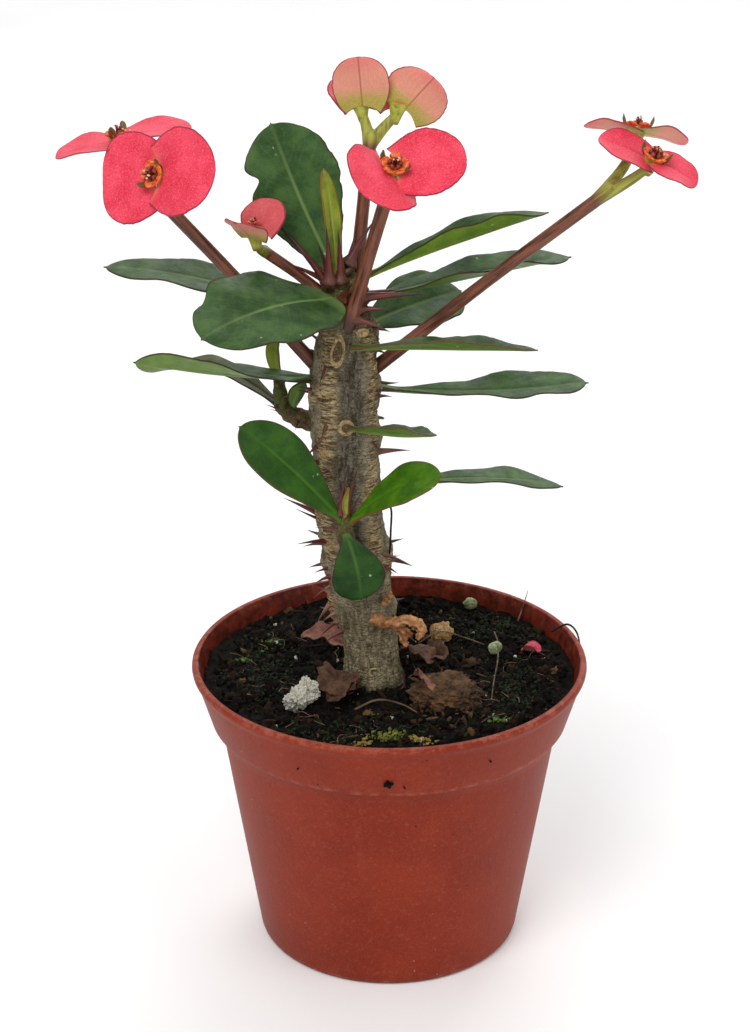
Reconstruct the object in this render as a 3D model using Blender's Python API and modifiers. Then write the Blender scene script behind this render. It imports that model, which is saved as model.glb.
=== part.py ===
"""A crown of thorns (Euphorbia milii) growing in a plastic nursery pot.

Units are metres with +Z up; the tables are in millimetres and degrees.
The pot stands on z = 0 with its centre on the Z axis, and -Y is the front.
Every piece that grows out of another one starts inside it and is then cut back by a
copy of it that has grown by CLEARANCE, so the two keep a thin gap at any size.
"""
import math

import bmesh
import bpy
from mathutils import Matrix, Vector, noise

MM = 0.001
UP = Vector((0.0, 0.0, 1.0))
CLEARANCE = 0.3 * MM
SEAT_DEPTH = 0.75  # where a leaf or stalk starts, as a share of its carrier's radius

# Pot
POT_HEIGHT = 80.0 * MM
POT_RIM_RADIUS = 52.5 * MM
POT_BASE_RADIUS = 35.1 * MM
POT_WALL = 1.3 * MM
POT_FLOOR = 1.6 * MM
POT_SEGMENTS = 48
COLLAR_HEIGHT = 16.0 * MM
COLLAR_TAPER = 4.6 * MM
COLLAR_STEP = 2.8 * MM
RIM_BEAD_HEIGHT = 2.4 * MM
RIM_BEAD_DEPTH = 0.7 * MM
FOOT_HEIGHT = 1.5 * MM
FOOT_WIDTH = 4.0 * MM
FOOT_ROUNDING = 1.2 * MM
REST_PAD_RADIUS = 9.0 * MM
DRAIN_HOLES = 6
DRAIN_HOLE_RADIUS = 3.0 * MM
DRAIN_CIRCLE_RADIUS = 20.0 * MM

# Soil
SOIL_BELOW_RIM = 6.0 * MM
SOIL_DISH = 1.2 * MM  # how much higher the soil lies at the wall than round the stem
SOIL_FLAT_RADIUS = 24.0 * MM

# Stem: share of the height above the soil, sideways lean, share of STEM_RADIUS
STEM_HEIGHT = 114.0 * MM
STEM_RADIUS = 8.4 * MM
STEM_BURIED = 28.0 * MM
STEM_ROOT_RADIUS = 5.5 * MM
STEM_OUTLINE = [
    (0.00, -3.9, 0.85),
    (0.09, -4.9, 0.83),
    (0.20, -7.2, 0.94),
    (0.31, -8.7, 0.97),
    (0.45, -10.2, 0.97),
    (0.58, -11.5, 1.00),
    (0.68, -12.0, 1.04),
    (0.76, -11.8, 1.00),
    (0.83, -10.8, 0.88),
    (0.90, -11.0, 0.72),
    (0.96, -11.4, 0.52),
    (1.00, -11.8, 0.32),
]
STEM_SIDES = 14

# Side shoots: share of the stem's height, then offsets of the path with its radii
LEFT_SHOOT = (0.63, [(-3, 1, 0, 3.0), (-11, 2, 1, 2.6), (-15.5, 3, 4, 2.1),
                     (-16.5, 3, 11, 1.5)])
LOWER_SHOOT = (0.37, [(-1.5, -5, 0, 2.6), (-2, -9.5, 3, 2.3), (-2, -12, 7, 1.9),
                      (-2, -12.5, 10, 1.2)])
SHOOT_SIDES = 8

# Spines: share of the stem's height, azimuth, elevation, length beyond the bark
SPINE_RADIUS = 0.9 * MM
SPINE_SIDES = 5
SPINES = [
    (0.16, 175, 20, 5),
    (0.18, 20, 10, 4),
    (0.21, 195, 42, 6),
    (0.29, 175, -20, 5),
    (0.31, -15, -8, 6),
    (0.33, 15, 12, 5),
    (0.35, 165, 15, 5),
    (0.40, 170, 25, 11),
    (0.43, 195, 30, 6),
    (0.52, 80, 15, 6),
    (0.55, -140, 35, 5),
    (0.62, -10, -5, 7),
    (0.64, 100, 10, 6),
    (0.72, -150, 30, 5),
    (0.73, 10, -8, 6),
    (0.80, 135, 20, 7),
    (0.86, 15, -25, 5),
    (0.93, 150, 55, 13),
    (0.93, 12, 4, 13),
    (0.96, -150, 75, 12),
    (0.99, 60, 65, 11),
]

# Leaves: name, carrier, share along the carrier, azimuth of the seat, reach to the tip,
# width, roll, twist, arch, fold, outline
OBOVATE = (1.7, 0.55)
OBLONG = (1.35, 0.50)
ELLIPTIC = (1.1, 0.48)
SPATULATE = (2.2, 0.60)
LEAVES = [
    ("leaf_upright", "stem", 0.96, 115, (-17, 9, 38), 24, 45, 0, -1.0, 8, OBOVATE),
    ("leaf_young", "stem", 0.97, -130, (-3, 0, 29), 5, 60, 0, 0.5, 20, OBLONG),
    ("leaf_right_upper", "stem", 0.97, -10, (48, 5, 16), 13, 10, 0, 1.0, 35, OBOVATE),
    ("leaf_right_long", "stem", 0.92, 20, (53, 7, 9), 15, 5, -5, 0.5, 22, OBOVATE),
    ("leaf_right_back", "stem", 0.85, 50, (26, 14, 5), 20, -25, 0, 0.5, 10, OBOVATE),
    ("leaf_front_left", "stem", 0.93, -120, (-32, -30, 0), 31, 16, 0, 3.0, 4, ELLIPTIC),
    ("leaf_left_far", "stem", 0.86, 140, (-58, 9, 12), 16, 6, 0, 3.0, 8, OBOVATE),
    ("leaf_right_thin", "stem", 0.83, -80, (46, -11, 3), 12, 12, 0, 0.5, 20, OBLONG),
    ("leaf_right_low", "stem", 0.72, 5, (56, 0, 1), 15, 0, -10, -2.0, 15, SPATULATE),
    ("leaf_left_folded", "stem", 0.74, 185, (-46, -7, 7), 16, 20, -70, -0.5, 12, OBOVATE),
    ("shoot_leaf_long", "left_shoot", 0.45, 150, (-31, 10, 10), 11, 0, 0, 4.0, 15, OBOVATE),
    ("shoot_leaf_upright", "left_shoot", 0.96, 90, (-1, 2, 12), 6, 75, 0, -0.5, 25, OBLONG),
    ("shoot_leaf_small", "left_shoot", 0.60, -10, (3, -1, 8), 5, 40, 0, 0.5, 5, OBLONG),
    ("front_leaf_left", "lower_shoot", 0.80, 180, (-25, -6, 28), 15, 60, 0, 1.0, 8, OBOVATE),
    ("front_leaf_right", "lower_shoot", 0.75, 0, (23, -8, 16), 15, -25, 0, 2.0, 8, OBOVATE),
    ("front_leaf_hanging", "lower_shoot", 0.50, -90, (4, -2, -18), 14, -60, 0, 1.0, 6, OBOVATE),
    ("front_leaf_young", "lower_shoot", 0.98, -90, (1, 0, 8), 4, 0, 0, 0.5, 20, OBLONG),
    ("stem_leaf_thin", "stem", 0.645, -80, (22, -16, 4), 9, 15, 0, -0.5, 25, OBLONG),
    ("stem_leaf_drooping", "stem", 0.47, 10, (50, 9, -3), 12, 0, 0, 2.5, 12, SPATULATE),
    ("stem_leaf_tiny", "stem", 0.63, 40, (5, 6, -2), 4, 0, 0, 0.5, 5, OBLONG),
]
LEAF_THICKNESS = 0.8 * MM
LEAF_STALK_WIDTH = 2.4 * MM
LEAF_TIP_WIDTH = 1.2 * MM
LEAF_STEPS = (11, 4)

# Flower stalks: share of the stem's height, seat azimuth, reach to the fork, radius
STALK_SIDES = 8
STALK_BEND = 0.5 * MM
STALKS = {
    "stalk_left": (0.76, 170, (-38, -7, 46), 1.8),
    "stalk_left_short": (0.91, 140, (-17, -2, 14), 1.6),
    "stalk_back": (0.93, 55, (4, 8, 38), 1.9),
    "stalk_front": (0.88, -80, (9, -6, 34), 1.9),
    "stalk_right": (0.75, 10, (59, -8, 50), 1.8),
}

# Flowers: name, stalk, centre from the fork, the way the cup faces, then its two bracts:
# the way each runs, the way its top faces, its length and its width
FLOWERS = [
    ("flower_left_front", "stalk_left", (-1, -6, 8), (-60, -72, 33),
     [((-85, 50, -25), (-52, -76, 33), 16, 22), ((80, -50, 20), (-45, -80, 38), 17, 21)]),
    ("flower_left_back", "stalk_left", (-11, 12, 13), (-10, 5, 99),
     [((-95, -10, -22), (-20, -3, 97), 15, 17), ((96, 10, 14), (-14, -5, 97), 17, 17)]),
    ("flower_left_short", "stalk_left_short", (-2, -5, 7), (-10, 10, 95),
     [((-46, -61, 64), (39, 51, 77), 8, 12), ((32, 55, 77), (-38, -65, 64), 9, 12)]),
    ("flower_back_left", "stalk_back", (-2.5, 2, 8.5), (-15, 10, 97),
     [((-41, 70, 57), (29, -49, 82), 10, 13), ((-8, -20, 96), (5, 96, 20), 13, 14)]),
    ("flower_back_right", "stalk_back", (7, 2, 8), (20, 5, 95),
     [((-23, 73, 64), (19, -61, 77), 9, 12), ((60, -15, 70), (10, 98, 12), 11, 16)]),
    ("flower_front", "stalk_front", (2, -7, 10), (10, -60, 80),
     [((-45, -80, -10), (48, -36, 69), 14, 20), ((95, -5, 15), (5, -75, 65), 16, 17)]),
    ("flower_right_front", "stalk_right", (10, -3, 9), (30, -30, 90),
     [((-85, 15, 35), (30, -30, 90), 13, 14), ((80, -20, -45), (40, -30, 86), 11, 13)]),
    ("flower_right_back", "stalk_right", (7, 10, 13), (10, 30, 93),
     [((-95, 0, 15), (5, 40, 90), 12, 13), ((90, 15, -30), (30, 45, 83), 12, 13)]),
]
BRACT_OUTLINE = (0.95, 0.5)
BRACT_THICKNESS = 0.6 * MM
BRACT_ARCH = 0.4 * MM
BRACT_FOOT_WIDTH = 4.5 * MM
BRACT_OFFSET = 0.7 * MM  # one bract of a pair sits this far above the cup's waist
BRACT_STEPS = (7, 4)
CUP_RADIUS = 2.2 * MM
CUP_LENGTH = 5.5 * MM

# Loose things on the soil: centre, size
PERLITE = ((-23.5, -19.0), (7.0, 6.0, 6.0))
BARK_LUMP = ((15.0, -14.0), (19.0, 15.0, 5.0))
LUMP_ROUGHNESS = 0.12
# Fallen leaves: name, foot, reach, width, arch
FALLEN_LEAVES = [
    ("fallen_leaf_pale", (-11.0, 12.0), (-13.0, 4.0, 2.0), 8.0, 1.5),
    ("fallen_leaf_brown", (-13.5, -4.0), (-3.0, -15.0, 0.5), 9.0, 2.0),
]
# Dried flower remains on the stem: share of height, offsets of the path with its radii
DRIED_STUB = (0.17, [(2, -5, 0, 1.5), (6, -10, 1, 1.4), (12, -12, 3, 1.2), (15, -13, 1, 1.0),
                     (14, -13, -2, 0.7)])

SOIL_LEVEL = POT_HEIGHT - SOIL_BELOW_RIM


def new_collection(name):
    collection = bpy.data.collections.new(name)
    bpy.context.scene.collection.children.link(collection)
    return collection


def new_material(name, colour, roughness, metallic=0.0):
    material = bpy.data.materials.new(name)
    material.use_nodes = True
    shader = material.node_tree.nodes["Principled BSDF"]
    shader.inputs["Base Color"].default_value = (*colour, 1.0)
    shader.inputs["Roughness"].default_value = roughness
    shader.inputs["Metallic"].default_value = metallic
    return material


def add_object(name, bm, collection, material=None):
    """Turn a bmesh into a smooth-shaded object in the collection."""
    mesh = bpy.data.meshes.new(name)
    bm.to_mesh(mesh)
    bm.free()
    mesh.shade_smooth()
    obj = bpy.data.objects.new(name, mesh)
    collection.objects.link(obj)
    if material is not None:
        mesh.materials.append(material)
    return obj


def mark_cutter(obj):
    obj.display_type = "WIRE"
    obj.hide_render = True


def boolean(obj, cutter, operation="DIFFERENCE"):
    modifier = obj.modifiers.new(operation.title() + " " + cutter.name, "BOOLEAN")
    modifier.operation = operation
    modifier.solver = "EXACT"
    modifier.use_self = True
    modifier.object = cutter


def grown_copy(obj, cutters):
    """A cutter of the same shape, larger by the clearance on every side."""
    cutter = obj.copy()
    cutter.name = obj.name + "_grown"
    cutters.objects.link(cutter)
    displace = cutter.modifiers.new("Clearance", "DISPLACE")
    displace.direction = "NORMAL"
    displace.mid_level = 0.0
    displace.strength = CLEARANCE
    mark_cutter(cutter)
    return cutter


def turned(name, profile, segments, collection, material):
    """A solid of revolution; the profile is a list of (radius, height) points."""
    bm = bmesh.new()
    verts = [bm.verts.new((radius, 0.0, height)) for radius, height in profile]
    for first, second in zip(verts, verts[1:]):
        bm.edges.new((first, second))
    obj = add_object(name, bm, collection, material)
    screw = obj.modifiers.new("Turn", "SCREW")
    screw.steps = segments
    screw.render_steps = segments
    screw.use_merge_vertices = True
    screw.merge_threshold = 0.01 * MM
    return obj


def tube(name, points, radii, sides, collection, material=None):
    """A tapering round rod along the points, closed at both ends, as a mesh."""
    curve = bpy.data.curves.new(name, "CURVE")
    curve.dimensions = "3D"
    curve.bevel_depth = 1.0
    curve.bevel_resolution = sides // 2 - 2
    curve.use_fill_caps = True
    spline = curve.splines.new("POLY")
    spline.points.add(len(points) - 1)
    for spot, point, radius in zip(spline.points, points, radii):
        spot.co = (*point, 1.0)
        spot.radius = radius
    rod = bpy.data.objects.new(name, curve)
    collection.objects.link(rod)
    graph = bpy.context.evaluated_depsgraph_get()
    mesh = bpy.data.meshes.new_from_object(rod.evaluated_get(graph))
    bpy.data.objects.remove(rod)
    bm = bmesh.new()
    bm.from_mesh(mesh)
    bpy.data.meshes.remove(mesh)
    bmesh.ops.remove_doubles(bm, verts=bm.verts, dist=0.01 * MM)
    bmesh.ops.recalc_face_normals(bm, faces=bm.faces)
    return add_object(name, bm, collection, material)


def smooth_path(points, radii, steps):
    """Catmull-Rom points and radii through the given ones."""
    padded = [2 * points[0] - points[1], *points, 2 * points[-1] - points[-2]]
    path = []
    sizes = []
    for i in range(len(points) - 1):
        a, b, c, d = padded[i:i + 4]
        for step in range(steps):
            t = step / steps
            path.append(0.5 * (2 * b + (c - a) * t + (2 * a - 5 * b + 4 * c - d) * t * t
                               + (3 * b - a - 3 * c + d) * t ** 3))
            sizes.append(radii[i] + (radii[i + 1] - radii[i]) * t)
    return path + [points[-1]], sizes + [radii[-1]]


# --- Pot and soil ---------------------------------------------------------------------

def collar_foot_radius():
    return POT_RIM_RADIUS - COLLAR_TAPER


def inner_profile():
    """Inside of the pot from the floor up to the rim, as (radius, height) points."""
    collar_foot = POT_HEIGHT - COLLAR_HEIGHT
    floor_top = FOOT_HEIGHT + POT_FLOOR
    return [
        (POT_BASE_RADIUS - POT_WALL, floor_top),
        (collar_foot_radius() - COLLAR_STEP - POT_WALL, collar_foot - POT_WALL),
        (collar_foot_radius() - POT_WALL, collar_foot),
        (POT_RIM_RADIUS - RIM_BEAD_DEPTH - POT_WALL, POT_HEIGHT - 0.6 * MM),
    ]


def inner_radius(height):
    """Radius of the pot's inside at a height above the collar's foot."""
    (low_radius, low), (high_radius, high) = inner_profile()[-2:]
    return low_radius + (high_radius - low_radius) * (height - low) / (high - low)


def make_pot(parts, cutters):
    material = new_material("terracotta_plastic", (0.42, 0.09, 0.05), 0.42)
    collar_foot = POT_HEIGHT - COLLAR_HEIGHT
    collar_radius = collar_foot_radius()
    body_radius = collar_radius - COLLAR_STEP
    bead_foot = POT_HEIGHT - RIM_BEAD_HEIGHT
    foot_inside = POT_BASE_RADIUS - FOOT_WIDTH
    profile = [(0.0, FOOT_HEIGHT + POT_FLOOR), *inner_profile()]
    profile += [
        (POT_RIM_RADIUS - RIM_BEAD_DEPTH - 0.5 * POT_WALL, POT_HEIGHT),
        (POT_RIM_RADIUS - 0.3 * RIM_BEAD_DEPTH, POT_HEIGHT - 0.3 * MM),
        (POT_RIM_RADIUS, POT_HEIGHT - 0.4 * RIM_BEAD_HEIGHT),
        (POT_RIM_RADIUS - 0.3 * RIM_BEAD_DEPTH, bead_foot),
        (POT_RIM_RADIUS - RIM_BEAD_DEPTH - 0.3 * MM, bead_foot - 0.5 * MM),
        (collar_radius, collar_foot + 0.8 * MM),
        (collar_radius - 0.5 * MM, collar_foot),
        (body_radius + 0.6 * MM, collar_foot - 0.8 * MM),
        (body_radius - 0.2 * MM, collar_foot - 2.4 * MM),
        (POT_BASE_RADIUS + 0.2 * MM, FOOT_ROUNDING),
        (POT_BASE_RADIUS - 0.7 * FOOT_ROUNDING, 0.0),
        (foot_inside, 0.0),
        (foot_inside - 0.5 * MM, FOOT_HEIGHT),
        (REST_PAD_RADIUS + 0.5 * MM, FOOT_HEIGHT),
        (REST_PAD_RADIUS, 0.0),
        (0.0, 0.0),
    ]
    pot = turned("pot", profile, POT_SEGMENTS, parts, material)
    bm = bmesh.new()
    for i in range(DRAIN_HOLES):
        spot = direction(360.0 * (i + 0.5) / DRAIN_HOLES) * DRAIN_CIRCLE_RADIUS
        bmesh.ops.create_cone(bm, cap_ends=True, segments=12, radius1=DRAIN_HOLE_RADIUS,
                              radius2=DRAIN_HOLE_RADIUS, depth=4 * (FOOT_HEIGHT + POT_FLOOR),
                              matrix=Matrix.Translation(spot))
    drills = add_object("drain_drills", bm, cutters)
    mark_cutter(drills)
    boolean(pot, drills)
    return pot


def soil_top():
    """Top of the soil from its centre to its edge, as (radius, height) points."""
    edge_height = SOIL_LEVEL + SOIL_DISH
    edge_radius = inner_radius(edge_height) - CLEARANCE
    return [(0.0, SOIL_LEVEL), (SOIL_FLAT_RADIUS, SOIL_LEVEL), (edge_radius, edge_height)]


def soil_height(radius):
    """Height of the soil's top at a distance from the pot's centre."""
    _, (flat_radius, low), (edge_radius, high) = soil_top()
    share = (radius - flat_radius) / (edge_radius - flat_radius)
    return low + (high - low) * min(max(share, 0.0), 1.0)


def make_soil(parts):
    material = new_material("peat", (0.02, 0.014, 0.01), 0.95)
    profile = soil_top()
    edge_height = profile[-1][1]
    walls = [point for point in reversed(inner_profile()) if point[1] < edge_height]
    profile += [(radius - CLEARANCE, height + CLEARANCE) for radius, height in walls]
    profile.append((0.0, profile[-1][1]))
    return turned("soil", profile, POT_SEGMENTS, parts, material)


# --- Stem, shoots and spines ----------------------------------------------------------

def stem_point(share):
    """Point on the stem's axis and the stem's radius there, at a share of its height."""
    rows = STEM_OUTLINE
    for (low, low_lean, low_size), (high, high_lean, high_size) in zip(rows, rows[1:]):
        if share <= high:
            t = (share - low) / (high - low)
            break
    lean = (low_lean + (high_lean - low_lean) * t) * MM
    size = (low_size + (high_size - low_size) * t) * STEM_RADIUS
    return Vector((lean, 0.0, SOIL_LEVEL + share * STEM_HEIGHT)), size


def path_point(points, radii, share):
    """Point and radius at a share of a path's points."""
    spot = share * (len(points) - 1)
    i = min(int(spot), len(points) - 2)
    t = spot - i
    return points[i].lerp(points[i + 1], t), radii[i] + (radii[i + 1] - radii[i]) * t


def direction(azimuth, elevation=0.0):
    az = math.radians(azimuth)
    el = math.radians(elevation)
    return Vector((math.cos(el) * math.cos(az), math.cos(el) * math.sin(az), math.sin(el)))


def cone_between(bm, foot, tip, radius, sides):
    axis = tip - foot
    turn = UP.rotation_difference(axis).to_matrix().to_4x4()
    bmesh.ops.create_cone(bm, cap_ends=True, segments=sides, radius1=radius, radius2=0.1 * radius,
                          depth=axis.length, matrix=Matrix.Translation(foot + axis / 2) @ turn)


def make_stem(parts, cutters):
    material = new_material("bark", (0.30, 0.25, 0.17), 0.85)
    top = [stem_point(row[0]) for row in STEM_OUTLINE]
    foot, foot_radius = top[0]
    points = [foot - UP * STEM_BURIED, foot - UP * 0.4 * STEM_BURIED] + [point for point, _ in top]
    radii = [STEM_ROOT_RADIUS, 0.95 * foot_radius] + [radius for _, radius in top]
    stem = tube("stem", points, radii, STEM_SIDES, parts, material)
    bm = bmesh.new()
    for share, azimuth, elevation, length in SPINES:
        axis_point, radius = stem_point(share)
        way = direction(azimuth, elevation)
        foot = axis_point + direction(azimuth) * 0.6 * radius
        tip = axis_point + direction(azimuth) * radius + way * length * MM
        cone_between(bm, foot, tip, SPINE_RADIUS, SPINE_SIDES)
    spines = add_object("stem_spines", bm, cutters)
    mark_cutter(spines)
    boolean(stem, spines, "UNION")
    return stem


def shoot_path(design):
    share, offsets = design
    seat, _ = stem_point(share)
    points = [seat + Vector(row[:3]) * MM for row in offsets]
    radii = [row[3] * MM for row in offsets]
    return smooth_path(points, radii, 3)


# --- Leaves and bracts ----------------------------------------------------------------

def blade(name, frame, length, width, outline, steps, thickness, foot_width, collection, material,
          roll=0.0, twist=0.0, arch=0.0, fold=0.0):
    """A leaf blade: a grid mapped to a curved outline and made thick with Solidify.

    frame is the root point, the way the blade runs and the way its top faces; outline is
    how far the widest place lies towards the tip and how pointed the ends are. Roll and
    twist turn the blade about its axis, arch lifts its middle, and fold closes its two
    halves like a book.
    """
    root, axis, normal = frame
    side = axis.cross(normal).normalized()
    normal = side.cross(axis).normalized()
    shift, point = outline
    bm = bmesh.new()
    bmesh.ops.create_grid(bm, x_segments=steps[0], y_segments=steps[1], size=0.5)
    for vert in bm.verts:
        along = min(max(vert.co.x + 0.5, 0.0), 1.0)
        across = 2.0 * vert.co.y
        swell = max(math.sin(math.pi * along ** shift), 0.0) ** point
        half = max(0.5 * width * swell, 0.5 * (foot_width if along < 0.5 else LEAF_TIP_WIDTH))
        angle = math.radians(roll + twist * along)
        sideways = side * math.cos(angle) + normal * math.sin(angle)
        upwards = normal * math.cos(angle) - side * math.sin(angle)
        closed = math.radians(fold) * min(1.0, 3.0 * along, 4.0 * (1.0 - along))
        centre = root + axis * length * along + normal * arch * 4.0 * along * (1.0 - along)
        vert.co = (centre + sideways * half * across * math.cos(closed)
                   + upwards * half * abs(across) * math.sin(closed))
    obj = add_object(name, bm, collection, material)
    solidify = obj.modifiers.new("Thickness", "SOLIDIFY")
    solidify.thickness = thickness
    solidify.offset = 0.0
    return obj


def carrier_point(carrier, share):
    """Point on the axis of the stem or a shoot, and its radius there."""
    if carrier == "stem":
        return stem_point(share)
    points, radii = shoot_path(LEFT_SHOOT if carrier == "left_shoot" else LOWER_SHOOT)
    return path_point(points, radii, share)


def make_leaves(parts, grown):
    green = new_material("leaf_green", (0.05, 0.12, 0.05), 0.45)
    fresh = new_material("leaf_fresh_green", (0.11, 0.26, 0.02), 0.4)
    for name, carrier, share, azimuth, reach, width, roll, twist, arch, fold, outline in LEAVES:
        axis_point, radius = carrier_point(carrier, share)
        root = axis_point + direction(azimuth) * SEAT_DEPTH * radius
        run = Vector(reach) * MM
        frame = root, run.normalized(), UP
        leaf = blade(name, frame, run.length, width * MM, outline, LEAF_STEPS, LEAF_THICKNESS,
                     LEAF_STALK_WIDTH, parts, fresh if carrier == "lower_shoot" else green,
                     roll, twist, arch * MM, fold)
        boolean(leaf, grown[carrier])
        if carrier != "stem":
            boolean(leaf, grown["stem"])


# --- Flowers --------------------------------------------------------------------------

def unit(values):
    return Vector(values).normalized()


def make_cup(name, centre, facing, parts, material):
    bm = bmesh.new()
    bmesh.ops.create_uvsphere(bm, u_segments=10, v_segments=7, radius=1.0)
    scale = Matrix.Diagonal((CUP_RADIUS, CUP_RADIUS, CUP_LENGTH / 2, 1.0))
    turn = UP.rotation_difference(facing).to_matrix().to_4x4()
    spot = Matrix.Translation(centre - facing * 0.3 * CUP_LENGTH)
    bmesh.ops.transform(bm, matrix=spot @ turn @ scale, verts=bm.verts)
    return add_object(name + "_cup", bm, parts, material)


def make_stalks_and_flowers(parts, cutters, grown):
    stalk_material = new_material("stalk_brown", (0.25, 0.09, 0.06), 0.5)
    cup_material = new_material("cup_green", (0.30, 0.33, 0.05), 0.5)
    bract_material = new_material("bract_coral", (0.85, 0.10, 0.15), 0.45)
    for stalk, (share, azimuth, reach, radius) in STALKS.items():
        axis_point, stem_radius = stem_point(share)
        start = axis_point + direction(azimuth) * SEAT_DEPTH * stem_radius
        fork = start + Vector(reach) * MM
        feet = []
        cups = []
        for name, carrier, offset, faces, bracts in FLOWERS:
            if carrier != stalk:
                continue
            centre = fork + Vector(offset) * MM
            facing = unit(faces)
            cup = make_cup(name, centre, facing, parts, cup_material)
            cups.append(grown_copy(cup, cutters))
            feet.append((centre - facing * 0.6 * CUP_LENGTH, facing))
            neighbours = [cups[-1]]
            for letter, lift, bract in zip("ba", (BRACT_OFFSET, 0.0), reversed(bracts)):
                run, top, length, width = bract
                waist = centre + facing * (lift - 0.3 * CUP_LENGTH)
                frame = waist + unit(run) * 0.5 * CUP_RADIUS, unit(run), unit(top)
                petal = blade(name + "_bract_" + letter, frame, length * MM, width * MM,
                              BRACT_OUTLINE, BRACT_STEPS, BRACT_THICKNESS, BRACT_FOOT_WIDTH,
                              parts, bract_material, arch=BRACT_ARCH)
                for neighbour in neighbours:
                    boolean(petal, neighbour)
                neighbours.append(grown_copy(petal, cutters))
        make_stalk(stalk, start, fork, radius * MM, feet, [grown["stem"], *cups],
                   parts, cutters, stalk_material)


def make_stalk(name, start, fork, radius, feet, seats, parts, cutters, material):
    """A stalk from the stem to its fork, with one short branch to each flower's cup."""
    middle = start.lerp(fork, 0.5) + UP * STALK_BEND
    points, radii = smooth_path([start, middle, fork], [1.1 * radius, radius, radius], 3)
    branches = []
    for foot, facing in feet:
        branches.append([foot.lerp(fork, 0.5) - facing * 0.15 * CUP_LENGTH, foot])
    stalk = tube(name, points + branches[0], radii + [0.8 * radius, 0.7 * radius],
                 STALK_SIDES, parts, material)
    for branch in branches[1:]:
        arm = tube(name + "_arm", [fork.lerp(middle, 0.05), *branch],
                   [0.85 * radius, 0.8 * radius, 0.7 * radius], STALK_SIDES, cutters)
        mark_cutter(arm)
        boolean(stalk, arm, "UNION")
    for seat in seats:
        boolean(stalk, seat)


# --- Loose things ---------------------------------------------------------------------

def make_lump(name, design, seed, parts, material):
    """A rough lump that lies on the soil."""
    (x, y), size = design
    bm = bmesh.new()
    bmesh.ops.create_icosphere(bm, subdivisions=2, radius=0.5)
    for vert in bm.verts:
        vert.co *= 1.0 + LUMP_ROUGHNESS * noise.noise(vert.co * 4.0 + Vector((seed, 0.0, 0.0)))
        vert.co = Vector(vert.co[i] * size[i] * MM for i in range(3))
    lowest = min(vert.co.z for vert in bm.verts)
    reach = (math.hypot(x, y) + 0.5 * max(size)) * MM
    lift = Vector((x * MM, y * MM, soil_height(reach) + CLEARANCE - lowest))
    bmesh.ops.translate(bm, vec=lift, verts=bm.verts)
    return add_object(name, bm, parts, material)


def make_litter(parts):
    white = new_material("perlite_white", (0.75, 0.74, 0.70), 0.9)
    bark = new_material("bark_brown", (0.10, 0.06, 0.03), 0.9)
    dead = new_material("dead_leaf_brown", (0.22, 0.12, 0.08), 0.7)
    make_lump("perlite_chunk", PERLITE, 3.0, parts, white)
    make_lump("bark_lump", BARK_LUMP, 7.0, parts, bark)
    for name, (x, y), reach, width, arch in FALLEN_LEAVES:
        run = Vector(reach) * MM
        outside = math.hypot(x + reach[0], y + reach[1]) * MM
        root = Vector((x * MM, y * MM, soil_height(outside) + CLEARANCE + 0.5 * LEAF_THICKNESS))
        blade(name, (root, run.normalized(), UP), run.length, width * MM, OBLONG, LEAF_STEPS,
              LEAF_THICKNESS, LEAF_STALK_WIDTH, parts, dead, arch=arch * MM)


def make_dried_stub(parts, grown):
    material = new_material("dried_flower_brown", (0.45, 0.22, 0.08), 0.7)
    points, radii = shoot_path(DRIED_STUB)
    stub = tube("dried_flower_stub", points, radii, SHOOT_SIDES, parts, material)
    boolean(stub, grown["stem"])


def main():
    for obj in list(bpy.data.objects):
        bpy.data.objects.remove(obj)
    parts = new_collection("potted_euphorbia")
    cutters = new_collection("cutters")
    make_pot(parts, cutters)
    soil = make_soil(parts)
    stem = make_stem(parts, cutters)
    grown = {"stem": grown_copy(stem, cutters)}
    boolean(soil, grown["stem"])
    shoot_material = new_material("shoot_brown", (0.16, 0.12, 0.06), 0.6)
    for name, design in (("left_shoot", LEFT_SHOOT), ("lower_shoot", LOWER_SHOOT)):
        points, radii = shoot_path(design)
        shoot = tube(name, points, radii, SHOOT_SIDES, parts, shoot_material)
        boolean(shoot, grown["stem"])
        grown[name] = grown_copy(shoot, cutters)
    make_leaves(parts, grown)
    make_stalks_and_flowers(parts, cutters, grown)
    make_litter(parts)
    make_dried_stub(parts, grown)


main()
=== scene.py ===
"""Looks of a crown of thorns (Euphorbia milii) in a plastic nursery pot.

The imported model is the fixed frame: every piece here stands for CAD nodes or lies on them.
Lengths are metres, the tables are millimetres and degrees, +Z is up and -Y is the front.
"""

import math
import random

import bmesh
import bpy
import numpy as np
from mathutils import Matrix, Vector, noise


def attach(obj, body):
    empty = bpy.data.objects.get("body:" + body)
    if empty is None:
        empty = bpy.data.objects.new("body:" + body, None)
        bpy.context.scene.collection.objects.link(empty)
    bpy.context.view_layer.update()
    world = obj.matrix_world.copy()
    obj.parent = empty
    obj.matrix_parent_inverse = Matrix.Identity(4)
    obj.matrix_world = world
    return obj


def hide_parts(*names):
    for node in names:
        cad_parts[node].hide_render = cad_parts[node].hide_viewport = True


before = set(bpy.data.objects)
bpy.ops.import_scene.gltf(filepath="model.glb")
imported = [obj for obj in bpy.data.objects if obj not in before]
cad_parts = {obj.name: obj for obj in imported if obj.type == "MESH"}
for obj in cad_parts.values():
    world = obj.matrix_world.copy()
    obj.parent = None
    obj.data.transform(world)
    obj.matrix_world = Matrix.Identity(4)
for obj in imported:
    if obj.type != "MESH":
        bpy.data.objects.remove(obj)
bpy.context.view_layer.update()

MM = 0.001
UP = Vector((0.0, 0.0, 1.0))
STRAIGHT = Matrix.Identity(3)
GOLDEN_ANGLE = 137.5
BODY = "root"

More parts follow.
